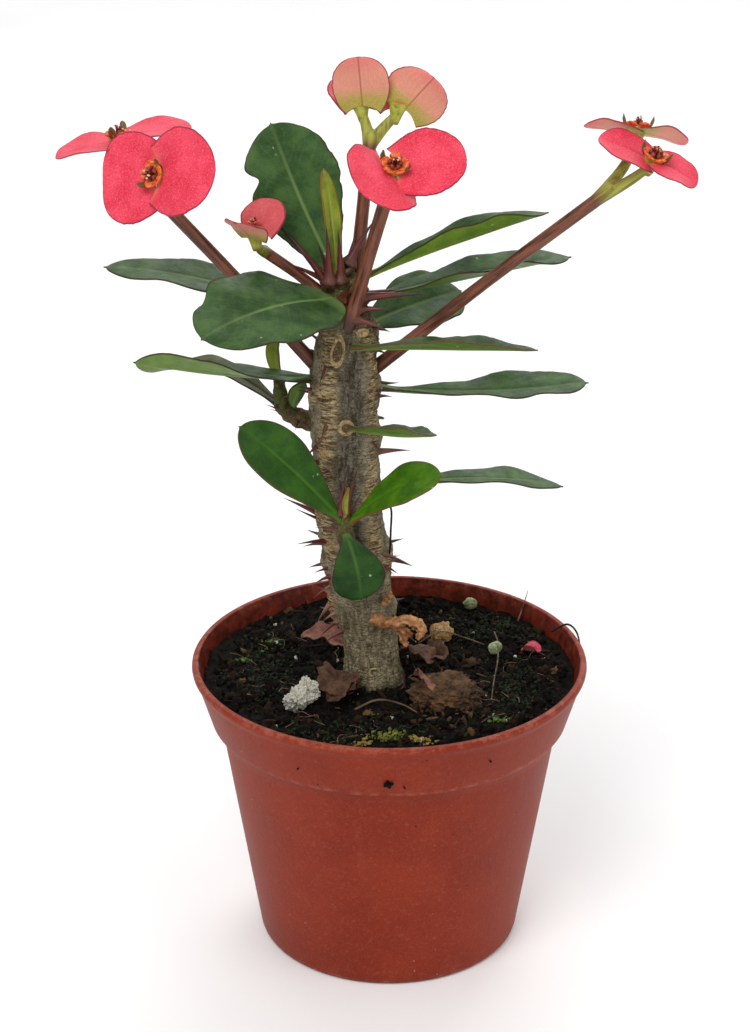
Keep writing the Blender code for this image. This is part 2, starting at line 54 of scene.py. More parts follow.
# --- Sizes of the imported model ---
POT_HEIGHT = 80.0 * MM
POT_RIM_RADIUS = 52.5 * MM
POT_BASE_RADIUS = 35.1 * MM
POT_WALL = 1.3 * MM
POT_FLOOR = 1.6 * MM
COLLAR_HEIGHT = 16.0 * MM
COLLAR_FOOT_RADIUS = 47.9 * MM
COLLAR_STEP = 2.8 * MM
COLLAR_SLOPE = 0.30
RIM_BEAD_HEIGHT = 2.4 * MM
RIM_BEAD_DEPTH = 0.7 * MM
FOOT_HEIGHT = 1.5 * MM
FOOT_WIDTH = 4.0 * MM
FOOT_ROUNDING = 1.2 * MM
REST_PAD_RADIUS = 9.0 * MM
DRAIN_HOLES = 6
DRAIN_HOLE_RADIUS = 3.0 * MM
DRAIN_CIRCLE_RADIUS = 20.0 * MM
SOIL_LEVEL = 74.0 * MM
SOIL_FOOT = 3.4 * MM
SOIL_DISH = 1.2 * MM
SOIL_FLAT_RADIUS = 24.0 * MM
SOIL_DISH_WIDTH = 24.0 * MM
STEM_HEIGHT = 114.0 * MM
STEM_RADIUS = 8.4 * MM
SEAT_DEPTH = 0.75
# Stem: share of its height, lean to the right, share of its radius
STEM_OUTLINE = [
    (0.00, -3.9, 0.85), (0.09, -4.9, 0.83), (0.20, -7.2, 0.94), (0.31, -8.7, 0.97),
    (0.45, -10.2, 0.97), (0.58, -11.5, 1.00), (0.68, -12.0, 1.04), (0.76, -11.8, 1.00),
    (0.83, -10.8, 0.88), (0.90, -11.0, 0.72), (0.96, -11.4, 0.52), (1.00, -11.8, 0.32)]
# Shoots: share of the stem's height, then points from there with a radius
SHOOTS = {
    "left_shoot": (0.63, [(-3, 1, 0, 3.0), (-11, 2, 1, 2.6), (-15.5, 3, 4, 2.1),
                          (-16.5, 3, 11, 1.5)]),
    "lower_shoot": (0.37, [(-1.5, -5, 0, 2.6), (-2, -9.5, 3, 2.3), (-2, -12, 7, 1.9),
                           (-2, -12.5, 10, 1.2)])}
DRIED_STUB = (0.17, [(2, -5, 0, 1.5), (6, -10, 1, 1.4), (12, -12, 3, 1.2), (15, -13, 1, 1.0),
                     (14, -13, -2, 0.7)])
# Spines: share of the stem's height, azimuth, elevation, length beyond the bark
SPINES = [
    (0.16, 175, 20, 5), (0.18, 20, 10, 4), (0.21, 195, 42, 6), (0.29, 175, -20, 5),
    (0.31, -15, -8, 6), (0.33, 15, 12, 5), (0.35, 165, 15, 5), (0.40, 170, 25, 11),
    (0.43, 195, 30, 6), (0.52, 80, 15, 6), (0.55, -140, 35, 5), (0.62, -10, -5, 7),
    (0.64, 100, 10, 6), (0.72, -150, 30, 5), (0.73, 10, -8, 6), (0.80, 135, 20, 7),
    (0.86, 15, -25, 5), (0.93, 150, 55, 13), (0.93, 12, 4, 13), (0.96, -150, 75, 12),
    (0.99, 60, 65, 11)]

OBOVATE = (1.7, 0.55)
OBLONG = (1.35, 0.50)
ELLIPTIC = (1.1, 0.48)
SPATULATE = (2.2, 0.60)
BRACT_OUTLINE = (0.92, 0.42)
# Leaves: name, carrier, share along it, azimuth of the seat, reach, width, roll, twist, arch,
# fold, outline, then the look, height of the waves and roughness of the edge
LEAVES = [
    ("leaf_upright", "stem", 0.96, 115, (-17, 9, 38), 24, 45, 0, -1.0, 8, OBOVATE,
     "dark", 0.5, 0.05),
    ("leaf_young", "stem", 0.97, -130, (-3, 0, 29), 5, 60, 0, 0.5, 20, OBLONG, "lime", 0.2, 0),
    ("leaf_right_upper", "stem", 0.97, -10, (48, 5, 16), 13, 10, 0, 1.0, 35, OBOVATE,
     "pale", 0.5, 0.05),
    ("leaf_right_long", "stem", 0.92, 20, (53, 7, 9), 15, 5, -5, 0.5, 22, OBOVATE,
     "dark", 0.6, 0.08),
    ("leaf_right_back", "stem", 0.85, 50, (26, 14, 5), 20, -25, 0, 0.5, 10, OBOVATE,
     "dark", 0.4, 0),
    ("leaf_front_left", "stem", 0.93, -120, (-32, -30, 0), 31, 16, 0, 3.0, 4, ELLIPTIC,
     "dark", 0.6, 0.03),
    ("leaf_left_far", "stem", 0.86, 140, (-58, 9, 12), 16, 6, 0, 3.0, 8, OBOVATE,
     "dark", 0.5, 0.04),
    ("leaf_right_thin", "stem", 0.83, -80, (46, -11, 3), 12, 12, 0, 0.5, 20, OBLONG,
     "dry", 0.3, 0.10),
    ("leaf_right_low", "stem", 0.72, 5, (56, 0, 1), 15, 0, -10, -2.0, 15, SPATULATE,
     "dark", 0.6, 0.06),
    ("leaf_left_folded", "stem", 0.74, 185, (-46, -7, 7), 16, 20, -70, -0.5, 12, OBOVATE,
     "dark", 0.4, 0.05),
    ("shoot_leaf_long", "left_shoot", 0.45, 150, (-31, 10, 10), 11, 0, 0, 4.0, 15, OBOVATE,
     "dull", 0.3, 0),
    ("shoot_leaf_upright", "left_shoot", 0.96, 90, (-1, 2, 12), 6, 75, 0, -0.5, 25, OBLONG,
     "lime", 0, 0),
    ("shoot_leaf_small", "left_shoot", 0.60, -10, (3, -1, 8), 5, 40, 0, 0.5, 5, OBLONG,
     "dark", 0, 0),
    ("front_leaf_left", "lower_shoot", 0.80, 180, (-25, -6, 28), 15, 60, 0, 1.0, 8, OBOVATE,
     "fresh", 0.2, 0),
    ("front_leaf_right", "lower_shoot", 0.75, 0, (23, -8, 16), 15, -25, 0, 2.0, 8, OBOVATE,
     "vivid", 0.2, 0),
    ("front_leaf_hanging", "lower_shoot", 0.50, -90, (4, -2, -18), 14, -60, 0, 1.0, 6, OBOVATE,
     "deep", 0.3, 0),
    ("front_leaf_young", "lower_shoot", 0.98, -90, (1, 0, 8), 4, 0, 0, 0.5, 20, OBLONG,
     "lime", 0, 0),
    ("stem_leaf_thin", "stem", 0.645, -80, (22, -16, 4), 9, 15, 0, -0.5, 25, OBLONG,
     "dry", 0.3, 0.12),
    ("stem_leaf_drooping", "stem", 0.47, 10, (50, 9, -3), 12, 0, 0, 2.5, 12, SPATULATE,
     "dark", 0.4, 0.05),
    ("stem_leaf_tiny", "stem", 0.63, 40, (5, 6, -2), 4, 0, 0, 0.5, 5, OBLONG, "deep", 0, 0)]
# Bites in a leaf's edge: along, side, depth and width as shares of the half width and length
NOTCHES = {"leaf_upright": [(0.72, -1, 0.32, 0.05)], "leaf_front_left": [(0.80, 1, 0.18, 0.07)],
           "leaf_right_low": [(0.78, 1, 0.2, 0.05)]}
SMALL_LEAF = 15.0 * MM
LEAF_THICKNESS = 0.8 * MM
LEAF_STALK_WIDTH = 2.4 * MM

# Flower stalks: share of the stem's height, azimuth of the seat, reach, radius
STALKS = {
    "stalk_left": (0.76, 170, (-38, -7, 46), 1.8),
    "stalk_left_short": (0.91, 140, (-17, -2, 14), 1.6),
    "stalk_back": (0.93, 55, (4, 8, 38), 1.9),
    "stalk_front": (0.88, -80, (9, -6, 34), 1.9),
    "stalk_right": (0.75, 10, (59, -8, 50), 1.8)}
STALK_BEND = 0.5 * MM
STALK_SLIMNESS = 0.92
STALK_VOXEL = 0.3 * MM
GRAIN_STRETCH = 0.07
# Flowers: name, stalk, place from the fork, facing, two bracts of run, normal, length, width
FLOWERS = [
    ("flower_left_front", "stalk_left", (-1, -6, 8), (-60, -72, 33),
     [((-85, 50, -25), (-52, -76, 33), 16, 22), ((80, -50, 20), (-45, -80, 38), 17, 21)]),
    ("flower_left_back", "stalk_left", (-11, 12, 13), (-10, 5, 99),
     [((-95, -10, -22), (-20, -3, 97), 15, 17), ((96, 10, 14), (-14, -5, 97), 17, 17)]),
    ("flower_left_short", "stalk_left_short", (-2, -5, 7), (-10, 10, 95),
     [((-46, -61, 64), (39, 51, 77), 8, 12), ((32, 55, 77), (-38, -65, 64), 9, 12)]),
    ("flower_back_left", "stalk_back", (-2.5, 2, 8.5), (-15, 10, 97),
     [((-41, 70, 57), (29, -49, 82), 10, 13), ((-8, -20, 96), (5, 96, 20), 13, 14)]),
    ("flower_back_right", "stalk_back", (7, 2, 8), (20, 5, 95),
     [((-23, 73, 64), (19, -61, 77), 9, 12), ((60, -15, 70), (10, 98, 12), 11, 16)]),
    ("flower_front", "stalk_front", (2, -7, 10), (10, -60, 80),
     [((-45, -80, -10), (48, -36, 69), 14, 20), ((95, -5, 15), (5, -75, 65), 16, 17)]),
    ("flower_right_front", "stalk_right", (10, -3, 9), (30, -30, 90),
     [((-85, 15, 35), (30, -30, 90), 13, 14), ((80, -20, -45), (40, -30, 86), 11, 13)]),
    ("flower_right_back", "stalk_right", (7, 10, 13), (10, 30, 93),
     [((-95, 0, 15), (5, 40, 90), 12, 13), ((90, 15, -30), (30, 45, 83), 12, 13)])]
BRACT_THICKNESS = 0.6 * MM
BRACT_ARCH = 0.4 * MM
BRACT_FOOT_SHARE = 0.66
BRACT_CORDATE = 0.17
BRACT_OFFSET = 0.7 * MM
CUP_RADIUS = 2.2 * MM
CUP_LENGTH = 5.5 * MM

# --- Sizes of what is only seen ---
# Cup: height as a share of its length, share of its radius
CUP_PROFILE = [(-0.66, 0.44), (-0.56, 0.52), (-0.42, 0.60), (-0.26, 0.70), (-0.1, 0.82),
               (0.04, 0.95), (0.18, 1.04), (0.3, 1.06), (0.37, 1.0), (0.38, 0.84), (0.32, 0.66),
               (0.22, 0.5)]
CUP_SIDES = 40
GLANDS = 5
STAMENS = 11
# Flowers seen from below are paler and keep their glands deep between the bracts
GLAND_SIZES = {"flower_back_left": 0.4, "flower_back_right": 0.4, "flower_left_short": 0.5}
POT_SIDES = 192
POT_RING_STEP = 2.5 * MM
# How far the painted highlight, with wear, reaches from the pot's edges.
EDGE_HIGHLIGHT_AND_WEAR_REACH = 0.8 * MM
SOIL_RINGS = 120
SOIL_SIDES = 340
CRUMBS = 2300
SPLINTERS = 260
FIBRES = 48
FIBRE_STEP = 2.2 * MM
PERLITE_BITS = 34
CHIPS = 330
STEM_RINGS = 440
STEM_SIDES = 120
STEM_SUNK = 9.0 * MM
STEM_BLUR = 0.035
FOOT_FLARE = 0.22
FOOT_FLARE_HEIGHT = 2.8 * MM
CROWN_SHARE = 0.9
CROWN_SCALES = 26
FRONT = math.radians(-84)
GROOVE_HALF_ANGLE = 0.40
GROOVE_DEPTH = 0.9
RIDGE_ANGLE = 0.80
RIDGE_HALF_ANGLE = 0.34
WRINKLE_STEP = 0.13 * MM
WRINKLE_DEPTH = 0.13
SPINE_PAD_WIDTH = 2.4 * MM
SPINE_PAD_HEIGHT = 2.2 * MM
SPINE_STEPS = 18
SPINE_SIDES = 14
# Extra spines: shares of the radius at the foot and where the length starts, radius, bend,
# then rows of share along the carrier, azimuth, elevation, length
SMALL_SPINES = {
    "stem": (0.9, 1.06, 0.8, 0.3, [
        (0.66, -118, -55, 4.5), (0.79, -126, -60, 4.5), (0.36, -150, 8, 8.5),
        (0.345, -172, -8, 5.0), (0.27, -155, -15, 4.0), (0.13, 200, -35, 5.0),
        (0.155, 190, -50, 6.5), (0.87, -20, -10, 4.0), (0.70, -8, 5, 3.5),
        (0.82, -30, -8, 4.0), (0.60, -140, -30, 4.0), (0.30, -30, -20, 4.0)]),
    "lower_shoot": (0.6, 1.0, 0.42, 0.2, [
        (0.75, 60, 70, 9), (0.7, 110, 72, 12), (0.85, 20, 66, 8), (0.8, 80, 74, 12),
        (0.5, 175, 5, 6)]),
    "left_shoot": (0.6, 1.0, 0.42, 0.2, [
        (0.35, -100, -15, 4), (0.55, 200, 35, 5), (0.8, -60, 30, 4), (0.15, -80, 30, 4),
        (0.4, 180, 25, 5)])}
# Long spines at the crown and broad ones seen from the front: foot, tip, radius, how pale
LONG_SPINES = [
    ((-15.5, -1, 184), (-29, 4, 199), 1.16, 0), ((-15.5, -3, 184), (-22, -3, 193), 1.16, 0),
    ((-15, -4.5, 185), (-15.8, -6, 200.5), 1.305, 0),
    ((-12.2, -3.5, 185), (-12.9, -5, 199), 1.305, 0),
    ((-10.5, 1.5, 188), (-4, 3, 199), 1.45, 0), ((-8.5, -2.5, 180.5), (9, -4, 182), 1.45, 0),
    ((-7.5, -4, 178), (0.5, -6, 178.5), 1.015, 0), ((-8.5, -5.5, 176), (-0.5, -9, 174), 1.015, 0),
    ((-15, 2, 183), (-27, 1, 189), 1.015, 0), ((-10, 4, 184), (-6, 12, 194), 1.16, 0),
    ((-15, 4, 184), (-18, 12, 192), 1.16, 0), ((-11.5, -4.5, 181), (-9.5, -11, 187), 1.015, 0),
    ((-14.6, -6.0, 146.5), (-20.0, -8.5, 142.2), 1.2, 0.1),
    ((-5.0, -2.0, 139.0), (5.2, -3.0, 140.0), 1.2, 0.2),
    ((-2.5, -2.0, 110.0), (6.0, -3.0, 107.6), 1.4, 0.3),
    ((-4.0, -4.0, 111.8), (3.2, -6.0, 110.4), 0.9, 0.1),
    ((-13.0, -2.0, 99.5), (-19.1, -3.0, 91.2), 1.3, 0.5),
    ((-13.6, 0.0, 101.5), (-19.9, -1.0, 97.6), 0.7, 0.6),
    ((-12.6, -3.0, 95.0), (-18.0, -4.0, 91.7), 0.8, 0.6),
    ((-12.6, -12.6, 126.0), (-10.6, -14.4, 140.6), 0.75, 0),
    ((-11.2, -12.6, 126.4), (-7.8, -14.4, 140.6), 0.8, 0)]
# Scars: azimuth, height over the soil, width, height, how dark the face is
SCARS = [(-84, 74.0, 4.0, 3.9, 0.8), (-106, 94.0, 3.2, 7.6, 1.0), (-55, 98.5, 3.0, 2.0, 0.3),
         (-86, 4.5, 3.0, 2.8, 0.3)]
# Scar rings from the outside in: share of its size, lift, how dark
SCAR_PROFILE = [(1.5, -1.5, 0.4), (1.2, -0.4, 0.3), (1.0, 0.25, 0.15), (0.84, 0.35, 0.1),
                (0.68, 0.05, 0.6), (0.45, -0.12, 1.0), (0.15, -0.05, 0.85)]
SCAR_SIDES = 36
# Dried scraps beside the stub: foot, reach, width
STUB_BITS = [((-1.2, -7.0, 98.5), (1.3, -1.2, 5.0), 1.8),
             ((2.2, -8.5, 92.5), (2.2, -2.5, -4.5), 2.4),
             ((2.0, -10.0, 94.0), (3.8, -1.2, -3.0), 2.2),
             ((6.0, -12.0, 94.5), (3.6, 0.5, -1.5), 1.8)]
# Single threads: points with a radius
THREADS = [
    [(29, 21, 77, 0.2), (29.5, 12, 78.2, 0.2), (29, 2, 77.5, 0.2), (27.5, -9, 77, 0.18),
     (26.5, -18, 76.2, 0.12)],
    [(8, 14, 77, 0.2), (14, 17, 79, 0.2), (21, 15, 78, 0.18), (26, 14, 76.5, 0.12)],
    [(36, 30, 76, 0.25), (37.5, 33, 79, 0.2), (39, 36, 82.5, 0.08)],
    [(-9, -23, 76, 0.3), (-3, -20, 77.2, 0.3), (3, -21, 76.5, 0.22), (7, -25, 76.2, 0.15)]]
RIM_HAIR = [(44.5, 18, 78.5, 0.28), (48.5, 17, 81.2, 0.28), (50.8, 13, 80.9, 0.26),
            (51.6, 9, 78.5, 0.2), (51.9, 6.5, 76.5, 0.12)]
HANGING_THREAD = [(-3.4, -3, 123.5, 0.27), (-0.8, -3.2, 125.0, 0.27), (0.4, -3.2, 123.5, 0.27),
                  (0.3, -3, 118, 0.27), (0.0, -3, 111.5, 0.27), (-0.8, -2.6, 109, 0.27),
                  (-2.6, -2.2, 108, 0.27)]
# Dried soil on the pot: azimuth, height, size
DIRT_SPOTS = [(-90.5, 68.8, 0.9), (-86.0, 67.6, 0.3), (-60.0, 72.0, 0.3), (-118.0, 70.0, 0.25),
              (150.0, 69.0, 0.5)]
# Stones: name, look, CAD nodes, centre, size, seed, detail, roughness, fine roughness
STONES = [
    ("perlite_lump", "perlite", ["perlite_chunk"], (-24.0, -19.3, 77.0), (5.6, 5.2, 5.6), 3.0, 6,
     0.7, 0.2),
    ("perlite_shoulder", "perlite", (), (-21.6, -17.2, 78.2), (5.4, 4.6, 5.8), 6.0, 6, 0.7, 0.2),
    ("ochre_stone", "ochre", (), (14.3, 20.0, 77.2), (6.0, 5.0, 5.6), 5.0, 5, 0.4, 0.12),
    ("green_pebble", "green", (), (23.0, 39.0, 77.2), (3.8, 3.4, 3.2), 8.0, 4, 0.28, 0.10),
    ("perlite_ball", "green", (), (28.8, 11.1, 77.0), (3.8, 3.6, 3.4), 2.0, 4, 0.2, 0.10)]
# Dead leaves: name, CAD nodes, foot, reach, width, roll, arch, fold, crumple, look
DEAD_LEAVES = [
    ("skin_fallen_leaf_pale", ["fallen_leaf_pale"], (-10.0, 12.0, 76.2), (-14, 4.5, 2.2), 8, 8,
     1.5, 22, 0.7, "pale"),
    ("skin_fallen_leaf_brown", ["fallen_leaf_brown"], (-11.5, -3.0, 76.4), (-4, -15, 1.0), 11,
     10, 2.4, 12, 1.6, "brown"),
    ("dead_leaf_bit", (), (-9.0, -10.0, 76.2), (-6, -11, 0.4), 8, -15, 1.2, 15, 1.2, "brown"),
    ("dead_leaf_clump_bit", (), (4.0, 9.0, 77.0), (7, -13, 3.5), 9, 15, 1.5, 16, 1.6, "brown"),
    ("dead_leaf_clump_top", (), (7.5, 5.0, 77.0), (8, -7, 3.0), 8, -20, 1.5, 20, 1.6, "brown"),
    ("dead_leaf_clump_foot", (), (7.0, -6.0, 77.5), (5, -12, 1.0), 6, 25, 1.2, 18, 1.4, "pale")]
# Moss cushions: name, place, width and depth, number of blobs, look
MOSS = [("front", 0.0, -36.5, 6.5, 3.0, 95, "yellow"),
        ("front_right", 8.5, -39.5, 4.0, 2.0, 45, "ochre"),
        ("front_left", -7.5, -40.5, 3.0, 1.6, 30, "ochre"),
        ("stem_foot", -4.0, -22.0, 3.0, 3.5, 28, "green"),
        ("left", -33.0, 17.0, 3.0, 5.0, 22, "green"),
        ("left_edge", -39.0, 9.0, 2.5, 3.0, 16, "green"),
        ("right", 28.0, -27.0, 4.0, 2.5, 24, "green"),
        ("dark_left", -33.0, 4.0, 14.0, 26.0, 420, "dark"),
        ("dark_front", -8.0, -32.0, 26.0, 9.0, 240, "dark"),
        ("dark_back", 27.0, 28.0, 20.0, 14.0, 420, "dark"),
        ("dark_right", 33.0, -8.0, 10.0, 22.0, 260, "dark"),
        ("beside_leaf", -18.0, 1.0, 2.0, 2.5, 12, "yellow")]
FLOOR_DARK = (0.93, 0.93, 0.93, 1.0)
FLOOR_LIGHT = (0.96, 0.96, 0.955, 1.0)
SKY_STRENGTH = 0.55
# Lights: name, place, aim, energy, size, in metres
LIGHTS = [("key", (-0.35, -0.75, 1.0), (0.0, 0.0, 0.12), 7.5, 0.7),
          ("fill", (0.8, -0.5, 0.6), (0.0, 0.0, 0.12), 2.2, 0.8),
          ("back", (0.3, 0.9, 0.9), (0.0, 0.0, 0.15), 3.0, 0.8),
          ("backdrop", (0.0, 2.2, 1.9), (0.0, 1.4, 0.0), 26.0, 3.0)]
CAMERA_PLACE = (-0.0038, -0.576, 0.365)
CAMERA_PITCH = 23.0
CAMERA_LENS = 84.0


# --- Small helpers ---

def srgb(red, green, blue):
    """Linear colour from 0-255 display values."""
    values = []
    for value in (red, green, blue):
        share = value / 255.0
        values.append(share / 12.92 if share <= 0.04045 else ((share + 0.055) / 1.055) ** 2.4)
    return (*values, 1.0)


def unit(values):
    return Vector(values).normalized()


def direction(azimuth, elevation=0.0):
    az, el = math.radians(azimuth), math.radians(elevation)
    return Vector((math.cos(el) * math.cos(az), math.cos(el) * math.sin(az), math.sin(el)))


def around(sides):
    return [2 * math.pi * j / sides for j in range(sides)]


def ring_spot(angle):
    return Vector((math.cos(angle), math.sin(angle), 0.0))


def spoke(facing, angle):
    """Unit vector at an angle round a facing direction."""
    across = facing.orthogonal().normalized()
    return across * math.cos(angle) + facing.cross(across) * math.sin(angle)


def smoothstep(low, high, value):
    share = np.clip((value - low) / (high - low), 0.0, 1.0)
    return share * share * (3.0 - 2.0 * share)


def fractal(point, size, seed=0.0, octaves=3):
    """Fractal noise of about -1 to 1, with features of the given size."""
    return noise.fractal(Vector(point) / size + Vector((seed, seed * 1.7, -seed)), 0.9, 2.1,
                         octaves, noise_basis="PERLIN_ORIGINAL")


def smooth_path(points, radii, steps):
    """Catmull-Rom points and radii through the given ones."""
    padded = [2 * points[0] - points[1], *points, 2 * points[-1] - points[-2]]
    path, sizes = [], []
    for i in range(len(points) - 1):
        a, b, c, d = padded[i:i + 4]
        for step in range(steps):
            t = step / steps
            path.append(0.5 * (2 * b + (c - a) * t + (2 * a - 5 * b + 4 * c - d) * t * t
                               + (3 * b - a - 3 * c + d) * t ** 3))
            sizes.append(radii[i] + (radii[i + 1] - radii[i]) * t)
    return path + [points[-1]], sizes + [radii[-1]]


def inner_radius(height):
    """Radius of the pot's inside at a height above the collar's foot."""
    low_radius = COLLAR_FOOT_RADIUS - POT_WALL
    high_radius = POT_RIM_RADIUS - RIM_BEAD_DEPTH - POT_WALL
    low = POT_HEIGHT - COLLAR_HEIGHT
    return low_radius + (high_radius - low_radius) * (height - low) / (POT_HEIGHT - 0.6 * MM - low)


def stem_point(share):
    """Point on the stem's axis and the stem's radius there, at a share of its height."""
    shares, leans, sizes = zip(*STEM_OUTLINE)
    lean, size = (float(np.interp(share, shares, values)) for values in (leans, sizes))
    return Vector((lean * MM, 0.0, SOIL_LEVEL + share * STEM_HEIGHT)), size * STEM_RADIUS


def shoot_path(design, steps=3):
    share, offsets = design
    seat, _ = stem_point(share)
    points = [seat + Vector(row[:3]) * MM for row in offsets]
    radii = [row[3] * MM for row in offsets]
    return smooth_path(points, radii, steps)


def carrier_point(carrier, share):
    """Point on the axis of the stem or a shoot, and its radius there."""
    if carrier == "stem":
        return stem_point(share)
    points, radii = shoot_path(SHOOTS[carrier])
    spot = share * (len(points) - 1)
    i = min(int(spot), len(points) - 2)
    t = spot - i
    return points[i].lerp(points[i + 1], t), radii[i] + (radii[i + 1] - radii[i]) * t


def new_object(name, data):
    obj = bpy.data.objects.new(name, data)
    bpy.context.scene.collection.objects.link(obj)
    return obj


def applied_mesh(obj):
    """A new mesh of an object with its modifiers applied."""
    graph = bpy.context.evaluated_depsgraph_get()
    return bpy.data.meshes.new_from_object(obj.evaluated_get(graph))


def add_piece(name, verts, faces, material, replaces=(), values=None):
    """A smooth mesh piece on the root body; values maps attribute names to per-vertex data."""
    mesh = bpy.data.meshes.new(name)
    mesh.from_pydata([tuple(v) for v in verts], [], faces)
    for key, data in (values or {}).items():
        data = np.asarray(data, dtype=np.float32)
        if data.ndim == 1:
            mesh.attributes.new(key, "FLOAT", "POINT").data.foreach_set("value", data)
        else:
            layer = mesh.attributes.new(key, "FLOAT_VECTOR", "POINT")
            layer.data.foreach_set("vector", data.ravel())
    mesh.shade_smooth()
    mesh.materials.append(material)
    obj = new_object(name, mesh)
    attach(obj, BODY)
    if replaces:
        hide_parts(*replaces)
    return obj


class Pile:
    """Collects the vertices, faces and values of many small solids for one piece."""

    def __init__(self):
        self.verts = []
        self.faces = []
        self.values = {}

    def add(self, verts, faces, **values):
        start = len(self.verts)
        self.verts.extend(Vector(v) for v in verts)
        self.faces.extend([tuple(start + i for i in face) for face in faces])
        for key, data in values.items():
            data = data if isinstance(data, (list, np.ndarray)) else [data] * len(verts)
            self.values.setdefault(key, []).extend(data)

    def make(self, name, material, replaces=()):
        return add_piece(name, self.verts, self.faces, material, replaces, self.values)


def ring_faces(rings, sides):
    """Faces of a closed tube of rings, with a fan cap vertex before and after them."""
    faces = []
    first, last = rings * sides, rings * sides + 1
    for i in range(rings - 1):
        for j in range(sides):
            k = (j + 1) % sides
            faces.append((i * sides + j, i * sides + k, (i + 1) * sides + k, (i + 1) * sides + j))
    for j in range(sides):
        k = (j + 1) % sides
        faces.append((first, k, j))
        faces.append((last, (rings - 1) * sides + j, (rings - 1) * sides + k))
    return faces


def tube(points, radii, sides, shape=None):
    """Vertices, faces and along-values of a closed tube; shape(along, angle) scales the radius."""
    count = len(points)
    verts, along = [], []
    tangent = (points[1] - points[0]).normalized()
    across = tangent.orthogonal().normalized()
    for i, (point, radius) in enumerate(zip(points, radii)):
        ahead = points[min(i + 1, count - 1)] - points[max(i - 1, 0)]
        turned = ahead.normalized()
        across = (tangent.rotation_difference(turned) @ across).normalized()
        tangent = turned
        other = tangent.cross(across)
        share = i / (count - 1)
        for angle in around(sides):
            size = radius * (shape(share, angle) if shape else 1.0)
            verts.append(point + (across * math.cos(angle) + other * math.sin(angle)) * size)
            along.append(share)
    verts += [points[0] - (points[1] - points[0]).normalized() * 0.3 * radii[0],
              points[-1] + (points[-1] - points[-2]).normalized() * 0.3 * radii[-1]]
    return verts, ring_faces(count, sides), along + [0.0, 1.0]


def ball(centre, size, turn, detail=1, rough=0.0, seed=0.0, grain=0.7, fine=0.0):
    """Vertices and faces of a rough ellipsoid with features about grain across."""
    bm = bmesh.new()
    bmesh.ops.create_icosphere(bm, subdivisions=detail, radius=1.0)
    verts = []
    for vert in bm.verts:
        bump = rough * fractal(vert.co, grain, seed)
        if fine:
            bump += fine * fractal(vert.co, 0.22, seed)
        co = vert.co * (1.0 + bump)
        verts.append(centre + turn @ Vector([co[i] * size[i] for i in range(3)]))
    faces = [tuple(v.index for v in face.verts) for face in bm.faces]
    bm.free()
    return verts, faces


# --- Materials: colours are 0-255 display values, sizes and bumps are metres ---

